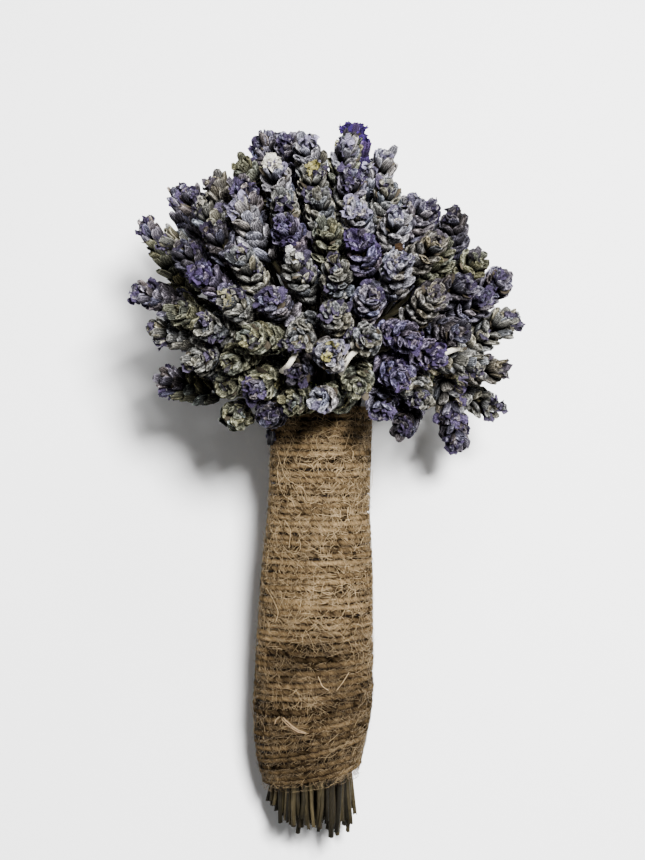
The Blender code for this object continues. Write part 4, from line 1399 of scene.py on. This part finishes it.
def calyx_material():
    """Grey woolly calyx with fine ribs and painted shade between them, a painted highlight along its side
    edges and one round its lip.
    """
    made = Shading("calyx", 0.9, 0.02)
    apart = made.node("ShaderNodeSeparateXYZ", {0: made.attribute("place", "Vector")})
    lip = made.math("ABSOLUTE", made.math("SUBTRACT", apart["Z"], 0.97))
    angle = made.math("ARCTAN2", apart["Y"], apart["X"])
    sway = made.noise(made.spot, 900.0, 2.0)
    angle = made.math("ADD", angle, made.ranged(sway, 0.3, 0.7, -0.16, 0.16))
    wave = made.math("SINE", made.math("MULTIPLY", angle, RIBS))
    rib = made.math("POWER", made.ranged(wave, -1.0, 1.0, 0.0, 1.0), 2.0)
    wool = made.noise(made.spot, 3000.0, 3.0, 0.75)
    blotch = made.noise(made.spot, 420.0, 3.0)
    crack = made.cracks(1100.0)
    light = made.product(
        # Painted shade in the grooves between the ribs, lighter on their crests.
        made.ranged(rib, 0.0, 1.0, 0.6, 1.6),
        made.ranged(wool, 0.3, 0.7, 0.4, 1.6),
        made.ranged(blotch, 0.32, 0.68, 0.6, 1.4),
        made.ranged(crack, 0.0, 0.1, 1.4, 0.92),
        # Painted highlight along the calyx's two side edges.
        made.ranged(made.math("ABSOLUTE", apart["X"]), 0.84, 0.98, 1.0, 3.3),
        # Painted highlight in a narrow band round the calyx's lip.
        made.ranged(lip, 0.0, 0.05, 2.2, 1.0),
    )
    made.coloured(made.attribute("tint", "Color"), light)
    height = made.math("ADD", rib, made.math("MULTIPLY", wool, 1.6))
    made.bumped(made.math("ADD", height, made.ranged(crack, 0.0, 0.13, 0.5, 0.0)), 0.0007)
    return made.material


def petal_material():
    """Dried crumpled petal, veined and a little silky."""
    made = Shading("petal", 0.7, 0.12)
    crease = made.noise(made.spot, 1500.0, 3.0)
    fine = made.noise(made.spot, 4200.0, 2.0)
    crack = made.cracks(900.0)
    light = made.product(
        made.ranged(crease, 0.3, 0.7, 0.4, 1.6),
        made.ranged(fine, 0.3, 0.7, 0.75, 1.25),
        made.ranged(crack, 0.0, 0.12, 1.9, 0.85),
    )
    made.coloured(made.attribute("tint", "Color"), light)
    made.bumped(made.math("ADD", crease, made.ranged(crack, 0.0, 0.12, 0.6, 0.0)), 0.0006)
    return made.material


def straw_material():
    """Dry stems and bracts, with fine streaks along them."""
    made = Shading("straw", 0.72, 0.08)
    streak = made.noise(made.stretched(made.spot, (1.0, 0.08, 1.0)), 2600.0, 3.0)
    blotch = made.noise(made.spot, 300.0, 3.0)
    light = made.product(
        made.ranged(streak, 0.3, 0.7, 0.62, 1.35),
        made.ranged(blotch, 0.3, 0.7, 0.75, 1.25),
    )
    made.coloured(made.attribute("tint", "Color"), light)
    made.bumped(streak, 0.0003)
    return made.material


def jute_material():
    """Rough jute: bundles of fibres that follow each ply's twist."""
    made = Shading("jute", 0.9, 0.0)
    along = made.stretched(made.attribute("place", "Vector"), (1.0, 1.0, 0.2))
    fibre = made.noise(along, 3.0, 4.0, 0.75)
    fine = made.noise(made.spot, 3000.0, 2.0)
    blotch = made.noise(made.spot, 160.0, 3.0)
    light = made.product(
        made.ranged(fibre, 0.34, 0.66, 0.22, 1.85),
        made.ranged(blotch, 0.3, 0.7, 0.75, 1.25),
        made.ranged(fine, 0.3, 0.7, 0.8, 1.2),
    )
    made.coloured(made.attribute("tint", "Color"), light)
    made.bumped(made.math("ADD", fibre, made.math("MULTIPLY", fine, 0.4)), 0.0007)
    return made.material


def fibre_material():
    """Loose fibres, a little lighter and darker from place to place."""
    made = Shading("fibre", 0.6, 0.05)
    light = made.ranged(made.noise(made.spot, 500.0, 2.0), 0.3, 0.7, 0.75, 1.25)
    made.coloured(made.attribute("tint", "Color"), light)
    return made.material


def floor():
    """A plain pale surface, much larger than what the camera sees."""
    bpy.ops.mesh.primitive_plane_add(size=6.0, location=(0.0, 0.0, -0.0002))
    plane = bpy.context.object
    plane.name = "floor"
    made = Shading("floor", 0.9)
    speck = made.ranged(made.noise(made.spot, 40.0, 3.0), 0.3, 0.7, 0.985, 1.0)
    ground = made.node("ShaderNodeCombineXYZ", {"X": 0.88, "Y": 0.88, "Z": 0.88})["Vector"]
    made.coloured(ground, speck)
    plane.data.materials.append(made.material)


def lamp(name, spot, aim, size, power):
    """A soft square light that points from its spot to its aim, both in metres."""
    light = bpy.data.lights.new(name, "AREA")
    light.size = size
    light.energy = power
    made = bpy.data.objects.new(name, light)
    bpy.context.scene.collection.objects.link(made)
    made.location = spot
    made.rotation_euler = (Vector(aim) - Vector(spot)).to_track_quat("-Z", "Y").to_euler()


def studio():
    """Soft light from the right and above, and a pale surrounding."""
    world = bpy.data.worlds.new("studio")
    world.use_nodes = True
    back = world.node_tree.nodes["Background"]
    back.inputs["Color"].default_value = (1.0, 1.0, 1.0, 1.0)
    back.inputs["Strength"].default_value = 0.26
    bpy.context.scene.world = world
    aim = (0.0, 0.0, 0.04)
    lamp("key", (0.2, 0.12, 0.92), aim, 0.2, 42.0)
    lamp("top", (0.25, 0.7, 0.65), aim, 0.4, 6.0)


def camera():
    """The photograph's eye: it looks square at the bunch's axis from above."""
    spot = TILTED @ np.array([*on_photo(CENTRE_PIXEL), EYE_DISTANCE]) + STANDS_AT
    axes = TILTED @ np.array([[*LEAN[0], 0.0], [*LEAN[1], 0.0], [0.0, 0.0, 1.0]])
    place = Matrix.Identity(4)
    for row in range(3):
        for column in range(3):
            place[row][column] = axes[row, column]
        place[row][3] = spot[row] * MM
    data = bpy.data.cameras.new("camera")
    made = bpy.data.objects.new("camera", data)
    bpy.context.scene.collection.objects.link(made)
    made.matrix_world = place
    data.sensor_fit = "VERTICAL"
    data.sensor_height = 24.0
    data.lens = data.sensor_height * EYE_DISTANCE / (IMAGE_HEIGHT * PHOTO_SCALE)
    data.clip_start = 0.01
    bpy.context.scene.camera = made


def dress_sprigs(materials):
    """The stems and spikes in detail, three to a piece as in the part."""
    names = list(SPIKES_IN_PHOTO)
    for number, stems in enumerate(bound_stems(), start=1):
        heap = Heap()
        for spike, end, joints in stems:
            name = names[spike] if spike < len(names) else ""
            add_spike(heap, joints[-2], joints[-1], look_of(name))
            add_stem(heap, joints, name in PALE_STEMS)
            add_cut_end(heap, joints[0], end)
            if name in BENT_STEMS:
                add_bent_stem(heap, BENT_STEMS[name])
            if name in FANS:
                add_fan(heap, joints[-2], joints[-1], FANS[name])
            if name in SCRAPS:
                add_scraps(heap, joints[-2], joints[-1], SCRAPS[name])
        piece = heap.made(f"lavender_{number:02d}", materials)
        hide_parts(f"sprigs_{number:02d}")


def dress_handle(materials):
    """The wound twine, and the loose fibres on it."""
    heap = Heap()
    add_twine(heap)
    add_sleeve(heap)
    wrap = heap.made("twine_handle", materials)
    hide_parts("jute_wrap")
    heap = Heap()
    for kind in FIBRES:
        add_fibres(heap, *kind)
    add_loose(heap)
    fuzz = heap.made("twine_fibres", materials)


def main():
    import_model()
    flower_materials = [calyx_material(), petal_material(), straw_material()]
    dress_sprigs(flower_materials)
    dress_handle([jute_material(), fibre_material()])
    heap = Heap()
    add_shed_floret(heap)
    floret = heap.made("shed_floret", flower_materials)
    floor()
    studio()
    camera()


main()
